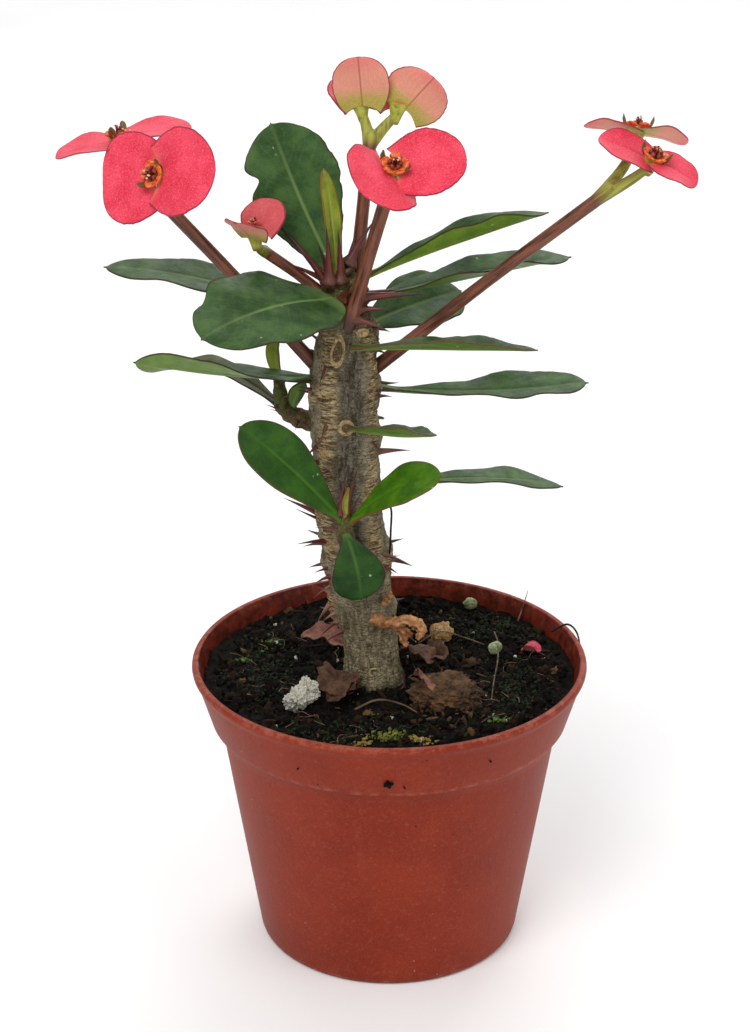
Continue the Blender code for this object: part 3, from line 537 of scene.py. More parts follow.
class Shader:
    """Builds one material's node tree with short calls; coats go over each other."""

    def __init__(self, name):
        self.material = bpy.data.materials.new(name)
        self.material.use_nodes = True
        self.tree = self.material.node_tree
        self.shader = self.tree.nodes["Principled BSDF"]
        self.place = self.node("ShaderNodeTexCoord").outputs["Object"]
        self.colour = None
        self.height = None

    def node(self, kind, inputs=(), **settings):
        """A new node; inputs are pairs of socket name or number and value."""
        made = self.tree.nodes.new(kind)
        for key, value in settings.items():
            setattr(made, key, value)
        for key, value in inputs:
            self.put(made.inputs[key], value)
        return made

    def put(self, socket, value):
        if isinstance(value, bpy.types.NodeSocket):
            self.tree.links.new(value, socket)
        else:
            if socket.type == "RGBA" and len(value) == 3:
                value = srgb(*value)
            socket.default_value = value

    def noise(self, size, detail=4.0, rough=0.6, warp=0.0, place=None):
        """Noise factor whose largest features are about size metres across."""
        return self.node("ShaderNodeTexNoise", [
            ("Vector", place or self.place), ("Scale", 1.0 / size), ("Detail", detail),
            ("Roughness", rough), ("Distortion", warp)]).outputs["Fac"]

    def cells(self, size, place=None, feature="F1"):
        """Distance from the middle, or from the edge, of cells about size metres across."""
        return self.node("ShaderNodeTexVoronoi", feature=feature, inputs=[
            ("Vector", place or self.place), ("Scale", 1.0 / size)]).outputs["Distance"]

    def stretched(self, x, y, z):
        """Coordinates scaled along each axis, for patterns that run one way."""
        return self.node("ShaderNodeMapping", [
            ("Vector", self.place), ("Scale", (x, y, z))]).outputs["Vector"]

    def value(self, name, output="Fac"):
        """A per-vertex number, or vector, stored on the mesh."""
        return self.node("ShaderNodeAttribute", attribute_name=name).outputs[output]

    def blade(self):
        """Along, across and underside values of a blade."""
        return self.node("ShaderNodeSeparateXYZ", [(0, self.value("blade", "Vector"))]).outputs

    def math(self, operation, first, second=0.0):
        return self.node("ShaderNodeMath", [(0, first), (1, second)],
                         operation=operation).outputs[0]

    def add(self, first, second):
        return self.math("ADD", first, second)

    def times(self, first, second):
        return self.math("MULTIPLY", first, second)

    def ripple(self, value):
        """Distance of value from the nearest half, for evenly spaced veins."""
        return self.math("ABSOLUTE", self.math("SUBTRACT", self.math("FRACT", value), 0.5))

    def spread(self, value, low, high, to_low=0.0, to_high=1.0):
        """Maps low..high to to_low..to_high, clamped and smooth."""
        return self.node("ShaderNodeMapRange", enumerate((value, low, high, to_low, to_high)),
                         interpolation_type="SMOOTHSTEP").outputs[0]

    def mix(self, factor, first, second):
        return self.node("ShaderNodeMix", [(0, factor), (6, first), (7, second)],
                         data_type="RGBA").outputs[2]

    def blend(self, value, low, high, first, second):
        """A colour that runs from first to second as value runs from low to high."""
        return self.mix(self.spread(value, low, high), first, second)

    def lay(self, amount, colour):
        """Lays a colour over what is there, by an amount of 0 to 1."""
        self.colour = self.mix(amount, self.colour, colour)

    def coat(self, value, low, high, colour, most=1.0):
        """Lays a colour over what is there, up to most as value runs from low to high."""
        self.lay(self.spread(value, low, high, 0.0, most), colour)

    def raise_by(self, value, distance):
        """Adds a height in metres to the bump of this material."""
        scaled = self.times(value, distance)
        self.height = scaled if self.height is None else self.add(self.height, scaled)

    def roughen(self, value, low, high):
        """Roughness that runs from low to high with a noise value."""
        return self.spread(value, 0.3, 0.7, low, high)

    def finish(self, roughness, specular=0.5, **sockets):
        sockets.update(Base_Color=self.colour, Roughness=roughness, Specular_IOR_Level=specular)
        if self.height is not None:
            bump = self.node("ShaderNodeBump", [("Strength", 1.0), ("Distance", 1.0),
                                                ("Height", self.height)])
            sockets["Normal"] = bump.outputs["Normal"]
        for key, value in sockets.items():
            self.put(self.shader.inputs[key.replace("_", " ")], value)
        return self.material


def leaf_material(name, dark, light, under, rib, margin, veins=0.09, bloom=0.11, dry_edge=0.0):
    """Waxy leaf: mottled top, paler underside, pale midrib, side veins and a coloured margin."""
    s = Shader(name)
    along, across, underside = s.blade()
    grain = s.noise(0.35 * MM, 3, 0.8)
    s.colour = s.blend(s.noise(6 * MM, 5), 0.35, 0.68, dark, light)
    s.coat(s.noise(0.9 * MM, 3, 0.7), 0.45, 0.75, light, 0.35)
    slant = s.add(s.times(along, 11.0), s.times(s.math("ABSOLUTE", across), -3.2))
    slant = s.add(slant, s.times(s.noise(9 * MM, 2), 0.9))
    vein = s.spread(s.ripple(slant), 0.09, 0.0, 0.0, veins)
    s.lay(vein, rib)
    s.coat(grain, 0.52, 0.76, (128, 146, 104), bloom)
    s.coat(grain, 0.48, 0.26, s.mix(0.5, dark, (8, 20, 6)), 0.4)
    s.lay(underside, s.blend(s.noise(3 * MM, 5), 0.35, 0.7, under, s.mix(0.5, under, light)))
    line = s.times(s.spread(s.value("rib_mm"), 0.75, 0.1), s.spread(along, 0.95, 0.45, 0.25, 1.0))
    s.lay(s.times(line, 0.75), rib)
    s.coat(along, 0.16, 0.03, rib, 0.8)
    s.coat(s.add(s.value("margin_mm"), s.times(s.noise(2 * MM, 3), 0.35)), 0.62, 0.32, margin, 0.85)
    if dry_edge:
        dry = s.times(s.spread(across, 0.7, 0.9), s.spread(along, 0.15, 0.3))
        s.lay(s.times(dry, dry_edge), s.blend(grain, 0.35, 0.65, (72, 52, 38), (112, 92, 70)))
    rare = s.spread(s.noise(7 * MM, 2), 0.60, 0.66, 0.0, 0.6)
    s.lay(s.times(s.spread(s.cells(2.6 * MM), 0.16, 0.08), rare), (190, 200, 180))
    s.raise_by(vein, 0.10 * MM)
    s.raise_by(s.noise(1.2 * MM, 4, 0.65), 0.10 * MM)
    s.raise_by(s.noise(0.3 * MM, 2), 0.03 * MM)
    return s.finish(s.roughen(s.noise(2.5 * MM, 4), 0.42, 0.6), 0.22)


def bract_material(name, deep, light, under, foot):
    """Satin bract: fine grain, faint fan veins, a warm eye, a dark margin, a pale underside."""
    s = Shader(name)
    along, across, underside = s.blade()
    fan = s.math("DIVIDE", across, s.add(along, 0.25))
    ribs = s.add(s.times(fan, 5.0), s.times(s.noise(4 * MM, 3), 0.8))
    vein = s.spread(s.ripple(ribs), 0.14, 0.0, 0.0, 0.22)
    grain = s.noise(0.4 * MM, 4, 0.8)
    s.colour = s.blend(along, 0.10, 0.42, foot, under)
    s.coat(along, 0.55, 1.05, light, 0.75)
    s.coat(grain, 0.4, 0.7, (240, 180, 160), 0.3)
    s.coat(s.value("rib_mm"), 0.35, 0.05, (150, 70, 40), 0.6)
    s.lay(s.times(vein, 0.5), deep)
    below = s.colour
    s.colour = s.blend(s.noise(6 * MM, 3), 0.35, 0.7, deep, light)
    s.lay(vein, deep)
    s.coat(grain, 0.48, 0.68, s.mix(0.5, light, (252, 160, 168)), 0.55)
    s.coat(grain, 0.46, 0.30, s.mix(0.5, deep, (150, 20, 50)), 0.5)
    eye = s.add(along, s.times(s.math("ABSOLUTE", across), 0.10))
    s.coat(s.add(eye, s.times(grain, 0.12)), 0.22, 0.12, (226, 120, 90), 0.55)
    s.lay(underside, below)
    s.coat(s.value("margin_mm"), 0.42, 0.16, (132, 28, 58), 0.85)
    s.raise_by(vein, 0.12 * MM)
    s.raise_by(grain, 0.06 * MM)
    return s.finish(s.roughen(s.noise(1.5 * MM, 3), 0.5, 0.68), 0.2, Sheen_Weight=0.1)


def stalk_material():
    """Streaked brown stalk skin that turns green at the fork."""
    s = Shader("stalk_skin")
    along = s.value("along")
    fibre = s.noise(0.9 * MM, 4, 0.6, place=s.value("grain", "Vector"))
    cloud = s.noise(7 * MM, 3)
    s.colour = s.blend(fibre, 0.36, 0.64, (60, 29, 17), (124, 70, 46))
    s.coat(cloud, 0.45, 0.75, (134, 76, 56), 0.4)
    s.lay(s.times(s.spread(along, 0.93, 1.0), s.spread(cloud, 0.3, 0.5, 0.8, 1.0)),
          s.blend(fibre, 0.35, 0.65, (112, 106, 34), (160, 160, 62)))
    s.coat(along, 0.10, 0.0, (48, 30, 20), 0.7)
    dots = s.spread(s.cells(0.7 * MM), 0.2, 0.08, 0.0, 0.3)
    s.lay(dots, (170, 128, 104))
    s.raise_by(fibre, 0.16 * MM)
    s.raise_by(dots, 0.03 * MM)
    return s.finish(s.roughen(fibre, 0.38, 0.55), 0.4)


def bark_material():
    """Grey-beige bark: ladder cork on the ridges, a dark groove, a pale foot."""
    s = Shader("corky_bark")
    share = s.value("share")
    broad = s.noise(5 * MM, 6, 0.65)
    fine = s.noise(0.9 * MM, 5, 0.75)
    long = s.noise(1.1 * MM, 5, 0.7, 0.6, place=s.stretched(1.0, 1.0, 0.22))
    across = s.noise(1.0 * MM, 4, 0.6, 0.8, place=s.stretched(0.32, 0.32, 2.3))
    cracks = s.cells(1.5 * MM, place=s.stretched(0.8, 0.8, 1.5), feature="DISTANCE_TO_EDGE")
    s.colour = s.blend(across, 0.42, 0.58, (96, 74, 46), (200, 178, 136))
    s.coat(broad, 0.5, 0.66, (188, 138, 76), 0.6)
    ladder = s.colour
    s.colour = s.blend(broad, 0.32, 0.68, (94, 82, 60), (160, 150, 126))
    s.coat(share, 0.30, 0.12, s.blend(long, 0.35, 0.65, (92, 84, 60), (168, 154, 122)), 0.8)
    dark_mottle = s.blend(long, 0.38, 0.62, (54, 45, 34), (124, 116, 102))
    s.coat(s.value("groove"), 0.15, 0.8, dark_mottle, 0.85)
    s.coat(s.value("cork"), 0.22, 0.7, ladder, 0.9)
    s.coat(share, 0.80, 0.93, s.blend(broad, 0.35, 0.65, (66, 46, 28), (112, 108, 56)), 0.8)
    s.coat(fine, 0.46, 0.28, (34, 26, 18), 0.75)
    s.coat(across, 0.44, 0.30, (40, 30, 20), 0.6)
    s.coat(cracks, 0.09, 0.0, (38, 28, 20), 0.5)
    pale = s.spread(s.cells(0.9 * MM), 0.24, 0.1, 0.0, 0.7)
    s.lay(s.times(pale, s.spread(broad, 0.45, 0.58)), (176, 164, 136))
    # The bark darkens in a wavy band just above the soil.
    s.lay(s.times(s.value("foot"), 0.8), (46, 37, 27))
    s.raise_by(across, 0.6 * MM)
    s.raise_by(fine, 0.45 * MM)
    s.raise_by(s.spread(cracks, 0.0, 0.14), 0.18 * MM)
    return s.finish(s.spread(fine, 0.2, 0.8, 0.72, 0.95), 0.15)


def spine_material():
    """Dark maroon horn; spines with a high tint are dry and pale."""
    s = Shader("spine_horn")
    along = s.value("along")
    streak = s.noise(0.8 * MM, 4)
    pale = s.value("tint")
    s.colour = s.mix(pale, (84, 44, 30), (150, 112, 76))
    s.coat(along, 0.04, 0.35, s.mix(pale, (92, 30, 26), (168, 122, 88)))
    s.coat(along, 0.35, 0.9, s.mix(pale, (40, 12, 16), (96, 60, 48)))
    s.coat(streak, 0.5, 0.75, (130, 66, 46), 0.35)
    s.raise_by(streak, 0.08 * MM)
    return s.finish(s.roughen(streak, 0.35, 0.55))


def shoot_material():
    s = Shader("young_bark")
    base = s.noise(2 * MM, 5, 0.65)
    s.colour = s.blend(base, 0.32, 0.68, (62, 42, 26), (108, 88, 50))
    s.lay(s.times(s.spread(s.value("along"), 0.35, 0.9), s.spread(base, 0.3, 0.6)), (74, 88, 26))
    cracks = s.cells(1.2 * MM, feature="DISTANCE_TO_EDGE")
    s.coat(cracks, 0.08, 0.0, (48, 30, 22), 0.6)
    s.raise_by(base, 0.4 * MM)
    s.raise_by(s.spread(cracks, 0.0, 0.12), 0.12 * MM)
    return s.finish(s.roughen(base, 0.55, 0.8), 0.3)


def pot_material():
    """Terracotta-coloured moulded plastic: faint flow marks, dust, scuffs, soil splashes, a painted
    highlight with wear along the edges and painted shade inside the wall.
    """
    s = Shader("terracotta_plastic")
    cloud = s.noise(22 * MM, 4, 0.55)
    flow = s.noise(5 * MM, 5, 0.6, 0.4, place=s.stretched(1, 1, 0.2))
    grain = s.noise(0.5 * MM, 3, 0.7)
    s.colour = s.blend(cloud, 0.3, 0.7, (122, 38, 18), (134, 46, 24))
    s.coat(flow, 0.55, 0.8, (144, 60, 40), 0.3)
    s.coat(grain, 0.5, 0.75, (158, 74, 52), 0.4)
    s.coat(grain, 0.46, 0.25, (88, 26, 14), 0.45)
    # Painted highlight, in patches like wear, along the rim, the collar step and the base edge.
    edge_highlight_and_wear = s.times(s.value("ridge"), s.spread(s.noise(3 * MM, 4, 0.7), 0.45, 0.62))
    s.lay(s.times(edge_highlight_and_wear, 0.35), (184, 112, 92))
    # Painted shade: the inside of the wall is darkened, in patches.
    dark_mottle = s.spread(s.noise(4 * MM, 5, 0.7), 0.38, 0.62, 0.35, 1.0)
    s.lay(s.times(s.times(s.value("inside"), dark_mottle), 0.85), (54, 16, 8))
    splash = s.spread(s.noise(9 * MM, 2), 0.56, 0.62)
    s.lay(s.times(s.spread(s.cells(4.2 * MM), 0.075, 0.045), splash), (40, 18, 12))
    scuff = s.spread(s.noise(13 * MM, 2), 0.55, 0.62, 0.0, 0.6)
    s.lay(s.times(s.spread(s.cells(3.1 * MM), 0.07, 0.04), scuff), (206, 168, 150))
    dust = s.spread(s.noise(1.6 * MM, 4, 0.75), 0.52, 0.78, 0.0, 0.14)
    s.lay(dust, (176, 128, 108))
    s.raise_by(flow, 0.10 * MM)
    s.raise_by(grain, 0.035 * MM)
    return s.finish(s.add(s.roughen(cloud, 0.44, 0.52), s.times(dust, 0.5)), 0.14)


def peat_material():
    s = Shader("damp_peat")
    clod = s.noise(3 * MM, 6, 0.7)
    fine = s.noise(0.7 * MM, 5, 0.75)
    s.colour = s.blend(clod, 0.35, 0.7, (8, 7, 5), (28, 21, 15))
    s.coat(fine, 0.55, 0.8, (62, 46, 32), 0.6)
    algae = s.times(s.spread(s.noise(11 * MM, 3), 0.55, 0.7), s.spread(fine, 0.4, 0.6))
    s.lay(s.times(algae, 0.6), (26, 38, 16))
    s.raise_by(clod, 1.2 * MM)
    s.raise_by(fine, 0.6 * MM)
    return s.finish(s.roughen(fine, 0.7, 1.0), 0.1)


def crumb_material():
    """Peat and bark crumbs; each crumb's own tint runs from black through brown to straw."""
    s = Shader("peat_crumbs")
    tint = s.value("tint")
    fine = s.noise(0.5 * MM, 5, 0.75)
    s.colour = s.blend(tint, 0.55, 0.95, (9, 8, 6), (46, 31, 20))
    s.coat(tint, 0.955, 0.99, (112, 82, 54))
    s.coat(fine, 0.5, 0.75, (66, 48, 32), 0.6)
    s.raise_by(fine, 0.4 * MM)
    return s.finish(s.roughen(fine, 0.7, 1.0), 0.12)


def rock_material(name, dark, light, pits, stain=None):
    """Pitted light mineral, such as perlite, with an optional stain."""
    s = Shader(name)
    cells = s.cells(1.1 * MM)
    fine = s.noise(0.6 * MM, 5, 0.75)
    s.colour = s.blend(fine, 0.3, 0.65, dark, light)
    s.coat(cells, 0.20, 0.07, (34, 28, 24), pits)
    if stain is not None:
        s.coat(s.noise(3 * MM, 4), 0.45, 0.65, stain, 0.8)
    s.raise_by(fine, 0.4 * MM)
    s.raise_by(s.spread(cells, 0.05, 0.3), 0.35 * MM)
    return s.finish(s.roughen(fine, 0.75, 0.98), 0.25)


def dry_material(name, dark, light, streak=1.0, roughness=0.75):
    """Dry papery plant matter with fibres and blotches."""
    s = Shader(name)
    broad = s.noise(3 * MM, 5, 0.65)
    fibre = s.noise(0.7 * MM, 5, 0.7, 0.8)
    s.colour = s.blend(broad, 0.3, 0.7, dark, light)
    s.coat(fibre, 0.5, 0.3, s.mix(0.6, dark, (30, 20, 14)), 0.55 * streak)
    s.raise_by(broad, 0.5 * MM)
    s.raise_by(fibre, 0.3 * MM)
    return s.finish(s.roughen(fibre, roughness - 0.1, roughness + 0.12), 0.3)


def cup_material():
    s = Shader("flower_cup_skin")
    along = s.value("along")
    base = s.noise(1.6 * MM, 4)
    s.colour = s.blend(base, 0.3, 0.7, (122, 126, 32), (184, 184, 72))
    s.coat(along, 0.35, 0.0, (110, 84, 50), 0.8)
    s.coat(along, 0.86, 1.0, (206, 100, 50), 0.8)
    s.raise_by(base, 0.15 * MM)
    return s.finish(s.roughen(base, 0.38, 0.52), 0.4)


def gland_material():
    """Glands by tint: orange, then dark red, then green-brown scales, then pale anthers."""
    s = Shader("flower_glands")
    tint = s.value("tint")
    base = s.noise(0.7 * MM, 4)
    s.colour = s.blend(base, 0.35, 0.65, (190, 52, 20), (236, 122, 40))
    s.coat(tint, 0.35, 0.48, s.mix(base, (84, 22, 14), (150, 44, 28)))
    s.coat(tint, 0.62, 0.68, s.mix(base, (74, 66, 24), (124, 96, 50)))
    s.coat(tint, 0.8, 0.95, (226, 190, 150))
    s.raise_by(base, 0.12 * MM)
    return s.finish(s.roughen(base, 0.22, 0.4), 0.5)


def scar_material():
    s = Shader("scar_cork")
    fine = s.noise(0.7 * MM, 4, 0.7)
    s.colour = s.blend(fine, 0.35, 0.65, (118, 92, 58), (186, 160, 114))
    s.coat(s.value("tint"), 0.35, 0.75, s.blend(fine, 0.3, 0.7, (52, 36, 22), (104, 84, 50)))
    s.raise_by(fine, 0.3 * MM)
    return s.finish(s.roughen(fine, 0.75, 0.92))


# --- Blades ---

def blade_solid(root, run, normal, width, outline, rows=72, columns=27,
                thickness=LEAF_THICKNESS, foot_width=LEAF_STALK_WIDTH, foot_thickness=2.0 * MM,
                roll=0.0, twist=0.0, arch=0.0, fold=0.0, notches=(), wave=0.0, wave_count=3.0,
                rough_edge=0.0, cup=0.0, cordate=0.0, keel=0.45 * MM, seed=0.0, crumple=0.0,
                point_length=0.012, petiole=0.14):
    """A closed leaf blade with thickness, a midrib keel, a rounded foot and a pointed tip.

    The blade runs from its root along run. Cup lifts the margins, wave ripples them, and cordate
    draws two lobes back past the foot, like the base of a heart.
    """
    axis = Vector(run).normalized()
    side = axis.cross(Vector(normal)).normalized()
    normal = side.cross(axis).normalized()
    shift, point = outline
    steps = np.linspace(0.0, 1.0, rows)  # closer together at both ends
    u = (0.45 * steps + 0.55 * 0.5 * (1.0 - np.cos(math.pi * steps)))[:, None]
    v = np.linspace(-1.0, 1.0, columns)[None, :]
    aside = np.abs(v)
    body = np.clip(u / (1.0 - point_length), 0.0, 1.0)
    swell = np.maximum(np.sin(math.pi * body ** shift), 0.0) ** point
    foot = 0.5 * foot_width * smoothstep(0.75, 0.35, u)
    half = ((0.5 * width * swell) ** 4 + foot ** 4 + (0.22 * MM) ** 4) ** 0.25
    half = half * (1.0 - 0.6 * smoothstep(1.0 - point_length, 1.0001, u))
    spread = np.ones((rows, columns))
    for spot, which, depth, size in notches:
        dent = depth * np.exp(-((u - spot) / size) ** 2)
        spread *= 1.0 - dent * np.where(v * which > 0, aside ** 2, 0.0)
    jag = np.array([[fractal((12 * share, 5 * sign, seed), 1.0, seed, 4) for sign in (-1, 1)]
                    for share in u[:, 0]])
    ragged = np.where(v < 0, jag[:, :1], jag[:, 1:])
    spread *= 1.0 + rough_edge * ragged * aside ** 2 * smoothstep(0.12, 0.3, u)
    half = half * spread
    angle = np.radians(roll + twist * u)
    closed = np.radians(fold) * np.minimum(1.0, np.minimum(3.0 * u, 4.0 * (1.0 - u)))
    ripple = np.sin(2 * math.pi * wave_count * u + seed + 1.9 * (v > 0))
    rise = half * aside * np.sin(closed) + cup * aside ** 2 * smoothstep(0.05, 0.4, u) * swell
    rise = rise + wave * aside ** 2 * ripple * swell
    side, axis, normal = (np.array(x) for x in (side, axis, normal))
    cos, sin = np.cos(angle)[..., None], np.sin(angle)[..., None]
    sideways = side * cos + normal * sin
    upwards = normal * cos - side * sin
    reach = Vector(run).length * u - cordate * aside ** 2 * smoothstep(0.55, 0.0, u)
    lift = arch * 4.0 * u * (1.0 - u)
    centre = np.array(root) + axis * reach[..., None] + normal * lift[..., None]
    middle = centre + sideways * (half * v * np.cos(closed))[..., None] + upwards * rise[..., None]
    if crumple:
        bent = np.array([[fractal(p, 5 * MM, seed, 3) for p in row] for row in middle])
        middle = middle + upwards * (crumple * bent * smoothstep(0.02, 0.2, u))[..., None]
    surface = np.cross(np.gradient(middle, axis=0), np.gradient(middle, axis=1))
    out = surface / np.maximum(np.linalg.norm(surface, axis=2, keepdims=True), 1e-12)
    if np.sum(out * upwards) < 0:
        out = -out
    stem_like = smoothstep(petiole, 0.25 * petiole, u)
    flat = thickness * (1.0 - 0.6 * aside ** 3)
    round_ = 0.5 * thickness + (foot_thickness - 0.5 * thickness) * np.sqrt(1.0 - 0.96 * v ** 2)
    thick = flat * (1.0 - stem_like) + round_ * stem_like
    thick = thick * (1.0 - 0.5 * smoothstep(0.93, 1.0, u))
    from_rib = np.abs(half * v)
    rib = np.exp(-(from_rib / (0.55 * MM)) ** 2) * smoothstep(1.0, 0.55, u) * (1.0 - stem_like)
    top = middle + out * (0.5 * thick - 0.22 * MM * rib)[..., None]
    low = middle - out * (0.5 * thick + keel * rib)[..., None]
    count = rows * columns
    faces = []
    for i in range(rows - 1):
        for a in range(i * columns, (i + 1) * columns - 1):
            quad = (a, a + 1, a + columns + 1, a + columns)
            faces += [quad, tuple(count + k for k in reversed(quad))]
    border = [*range(columns), *range(2 * columns - 1, count, columns),
              *range(count - 2, count - columns - 1, -1),
              *range(count - 2 * columns, 0, -columns)]
    for first, second in zip(border, border[1:] + border[:1]):
        faces.append((second, first, count + first, count + second))
    if np.dot(surface[rows // 2, columns // 2], out[rows // 2, columns // 2]) > 0:
        faces = [tuple(reversed(face)) for face in faces]
    across, along = (x.ravel() for x in np.broadcast_arrays(v, u))
    values = {
        "blade": np.concatenate([np.stack([along, across, np.full(count, under)], 1)
                                 for under in (0.0, 1.0)]),
        "margin_mm": np.tile(((1.0 - aside) * half / MM).ravel(), 2),
        "rib_mm": np.tile((from_rib / MM).ravel(), 2)}
    return np.concatenate([top.reshape(-1, 3), low.reshape(-1, 3)]), faces, values


def leaf_materials():
    maroon, green, leaf = (60, 28, 26), (112, 138, 78), leaf_material
    return {
        "dark": leaf("leaf_dark", (34, 66, 26), (66, 98, 46), (104, 132, 56), green, maroon),
        "deep": leaf("leaf_deep", (18, 50, 10), (36, 72, 18), (104, 132, 56), (66, 100, 40),
                     maroon, 0.06),
        "dull": leaf("leaf_dull", (50, 56, 26), (84, 88, 40), (104, 96, 50), (120, 112, 62),
                     maroon),
        "fresh": leaf("leaf_fresh", (24, 62, 4), (46, 88, 8), (96, 136, 36), (62, 104, 20),
                      (84, 54, 34), 0.05, 0.04),
        "vivid": leaf("leaf_vivid", (46, 90, 2), (78, 124, 6), (104, 148, 36), (60, 106, 8),
                      (104, 60, 36), 0.05, 0.04),
        "lime": leaf("leaf_lime", (92, 112, 24), (136, 150, 44), (150, 162, 66), (160, 160, 84),
                     (130, 80, 46), 0.05, 0.04),
        "pale": leaf("leaf_bright_under", (34, 70, 26), (62, 98, 40), (112, 142, 44),
                     (130, 150, 60), maroon),
        "dry": leaf("leaf_dry_edge", (34, 64, 24), (66, 98, 42), (96, 122, 52), (120, 140, 70),
                    (84, 54, 40), dry_edge=0.7),
    }


def make_leaves():
    looks = leaf_materials()
    for i, row in enumerate(LEAVES):
        name, carrier, share, azimuth, reach, width, roll, twist, arch, fold, outline = row[:11]
        look, wave, rough_edge = row[11:]
        axis_point, radius = carrier_point(carrier, share)
        run = Vector(reach) * MM
        small = run.length < SMALL_LEAF
        verts, faces, values = blade_solid(
            axis_point + direction(azimuth) * SEAT_DEPTH * radius, run, UP, width * MM, outline,
            rows=40 if small else 76, columns=17 if small else 29,
            foot_width=(1.4 if small else 2.6) * MM, foot_thickness=(1.0 if small else 2.0) * MM,
            roll=roll, twist=twist, arch=arch * MM, fold=fold, seed=1.0 + i, wave=wave * MM,
            rough_edge=rough_edge, notches=NOTCHES.get(name, ()))
        add_piece("skin_" + name, verts, faces, looks[look], [name], values)


# --- Stem, shoots and spines ---

def stem_centre(height):
    """Stem axis and radius at a height over the soil, smoothed between the outline's rows."""
    share = np.clip(height / STEM_HEIGHT, 0.0, 1.0)
    table = np.array(STEM_OUTLINE)
    spots = np.clip(np.linspace(share - STEM_BLUR, share + STEM_BLUR, 7), 0.0, 1.0)
    lean, size = (float(np.mean(np.interp(spots, table[:, 0], table[:, i]))) for i in (1, 2))
    return Vector((lean * MM, 0.0, SOIL_LEVEL + height)), size * STEM_RADIUS


def angle_gap(first, second):
    return (first - second + math.pi) % (2 * math.pi) - math.pi


def bark_offset(angle, height, radius):
    """How far the bark stands out of the smooth stem, with its cork and groove shares."""
    share = height / STEM_HEIGHT
    point = (radius * math.cos(angle), radius * math.sin(angle), height)
    offset = 0.0
    cork = 0.0
    for spot, azimuth, _, length in SPINES:
        if spot > CROWN_SHARE:
            continue
        gap = angle_gap(angle, math.radians(azimuth)) * radius
        drop = (share - spot) * STEM_HEIGHT
        drop = drop * (0.5 if drop < 0 else 1.0)
        bump = math.exp(-(gap / SPINE_PAD_WIDTH) ** 2 - (drop / SPINE_PAD_HEIGHT) ** 2)
        offset += bump * (1.1 + 0.06 * length) * MM
        cork = max(cork, bump * 0.9)
    from_front = angle_gap(angle, FRONT + 0.22 * math.sin(share * 11.0))
    window = float(smoothstep(0.16, 0.34, share) * smoothstep(0.95, 0.84, share))
    groove = math.exp(-(from_front / GROOVE_HALF_ANGLE) ** 2) * window
    ridge = math.exp(-((abs(from_front) - RIDGE_ANGLE) / RIDGE_HALF_ANGLE) ** 2) * window
    patchy = 0.5 + 0.9 * fractal(point, 8 * MM, 4.0)
    cork = min(1.0, max(cork, ridge * (0.35 + 0.9 * max(patchy, 0.0))))
    rough = max(0.0, min(1.0, ridge * (0.4 + patchy)))
    wrinkle = math.sin(height / WRINKLE_STEP + 6.0 * fractal(point, 4.0 * MM, 2.0))
    offset += ((0.35 + 0.45 * patchy) * ridge - GROOVE_DEPTH * groove
               + WRINKLE_DEPTH * wrinkle * rough + 0.55 * fractal(point, 6.0 * MM, 1.0)
               + 0.30 * fractal(point, 1.8 * MM, 3.0)) * MM
    return offset, cork, groove


def make_stem():
    verts, cork, groove, foot = [], [], [], []
    for height in np.linspace(-STEM_SUNK, STEM_HEIGHT - 0.6 * MM, STEM_RINGS):
        centre, radius = stem_centre(max(height, 0.0))
        centre.z = SOIL_LEVEL + height
        flare = 1.0 + FOOT_FLARE * math.exp(-max(height, 0.0) / FOOT_FLARE_HEIGHT)
        top = float(smoothstep(STEM_HEIGHT, STEM_HEIGHT - 3.0 * MM, height))
        for angle in around(STEM_SIDES):
            offset, corked, grooved = bark_offset(angle, height, radius)
            size = (radius * flare + offset * (0.35 + 0.65 * top)) * (0.35 + 0.65 * top ** 0.5)
            verts.append(centre + ring_spot(angle) * size)
            cork.append(corked)
            groove.append(grooved)
            # A wavy band just above the soil, where the bark is darkened.
            low_band = float(smoothstep(2.6 * MM, 0.2 * MM, height + 1.0 * MM * math.sin(3 * angle)))
            foot.append(0.7 * low_band)
    half = STEM_SIDES // 2
    verts += [verts[0].lerp(verts[half], 0.5), verts[-1].lerp(verts[-1 - half], 0.5)]
    verts[-1].z += 0.4 * MM
    share = [(v.z - SOIL_LEVEL) / STEM_HEIGHT for v in verts]
    for values in (cork, groove, foot):
        values += [0.0, 0.0]
    add_piece("bark_stem", verts, ring_faces(STEM_RINGS, STEM_SIDES), bark_material(),
              ["stem"], {"cork": cork, "groove": groove, "foot": foot, "share": share})


def add_spine(pile, foot, tip, radius, bend, pale=0.0):
    """A horn-like spine with a broad foot and a slight bend."""
    axis = tip - foot
    side = axis.normalized().cross(UP)
    side = side.normalized() if side.length > 0.01 else Vector((1.0, 0.0, 0.0))
    up = side.cross(axis).normalized()
    steps = [i / SPINE_STEPS for i in range(SPINE_STEPS + 1)]
    points = [foot + axis * t + up * bend * math.sin(math.pi * t) for t in steps]
    radii = [radius * (0.95 * (1.0 - t) ** 1.1 + 0.7 * math.exp(-(t / 0.11) ** 2) + 0.035)
             for t in steps]
    verts, faces, along = tube(points, radii, SPINE_SIDES)
    pile.add(verts, faces, along=along, tint=pale)


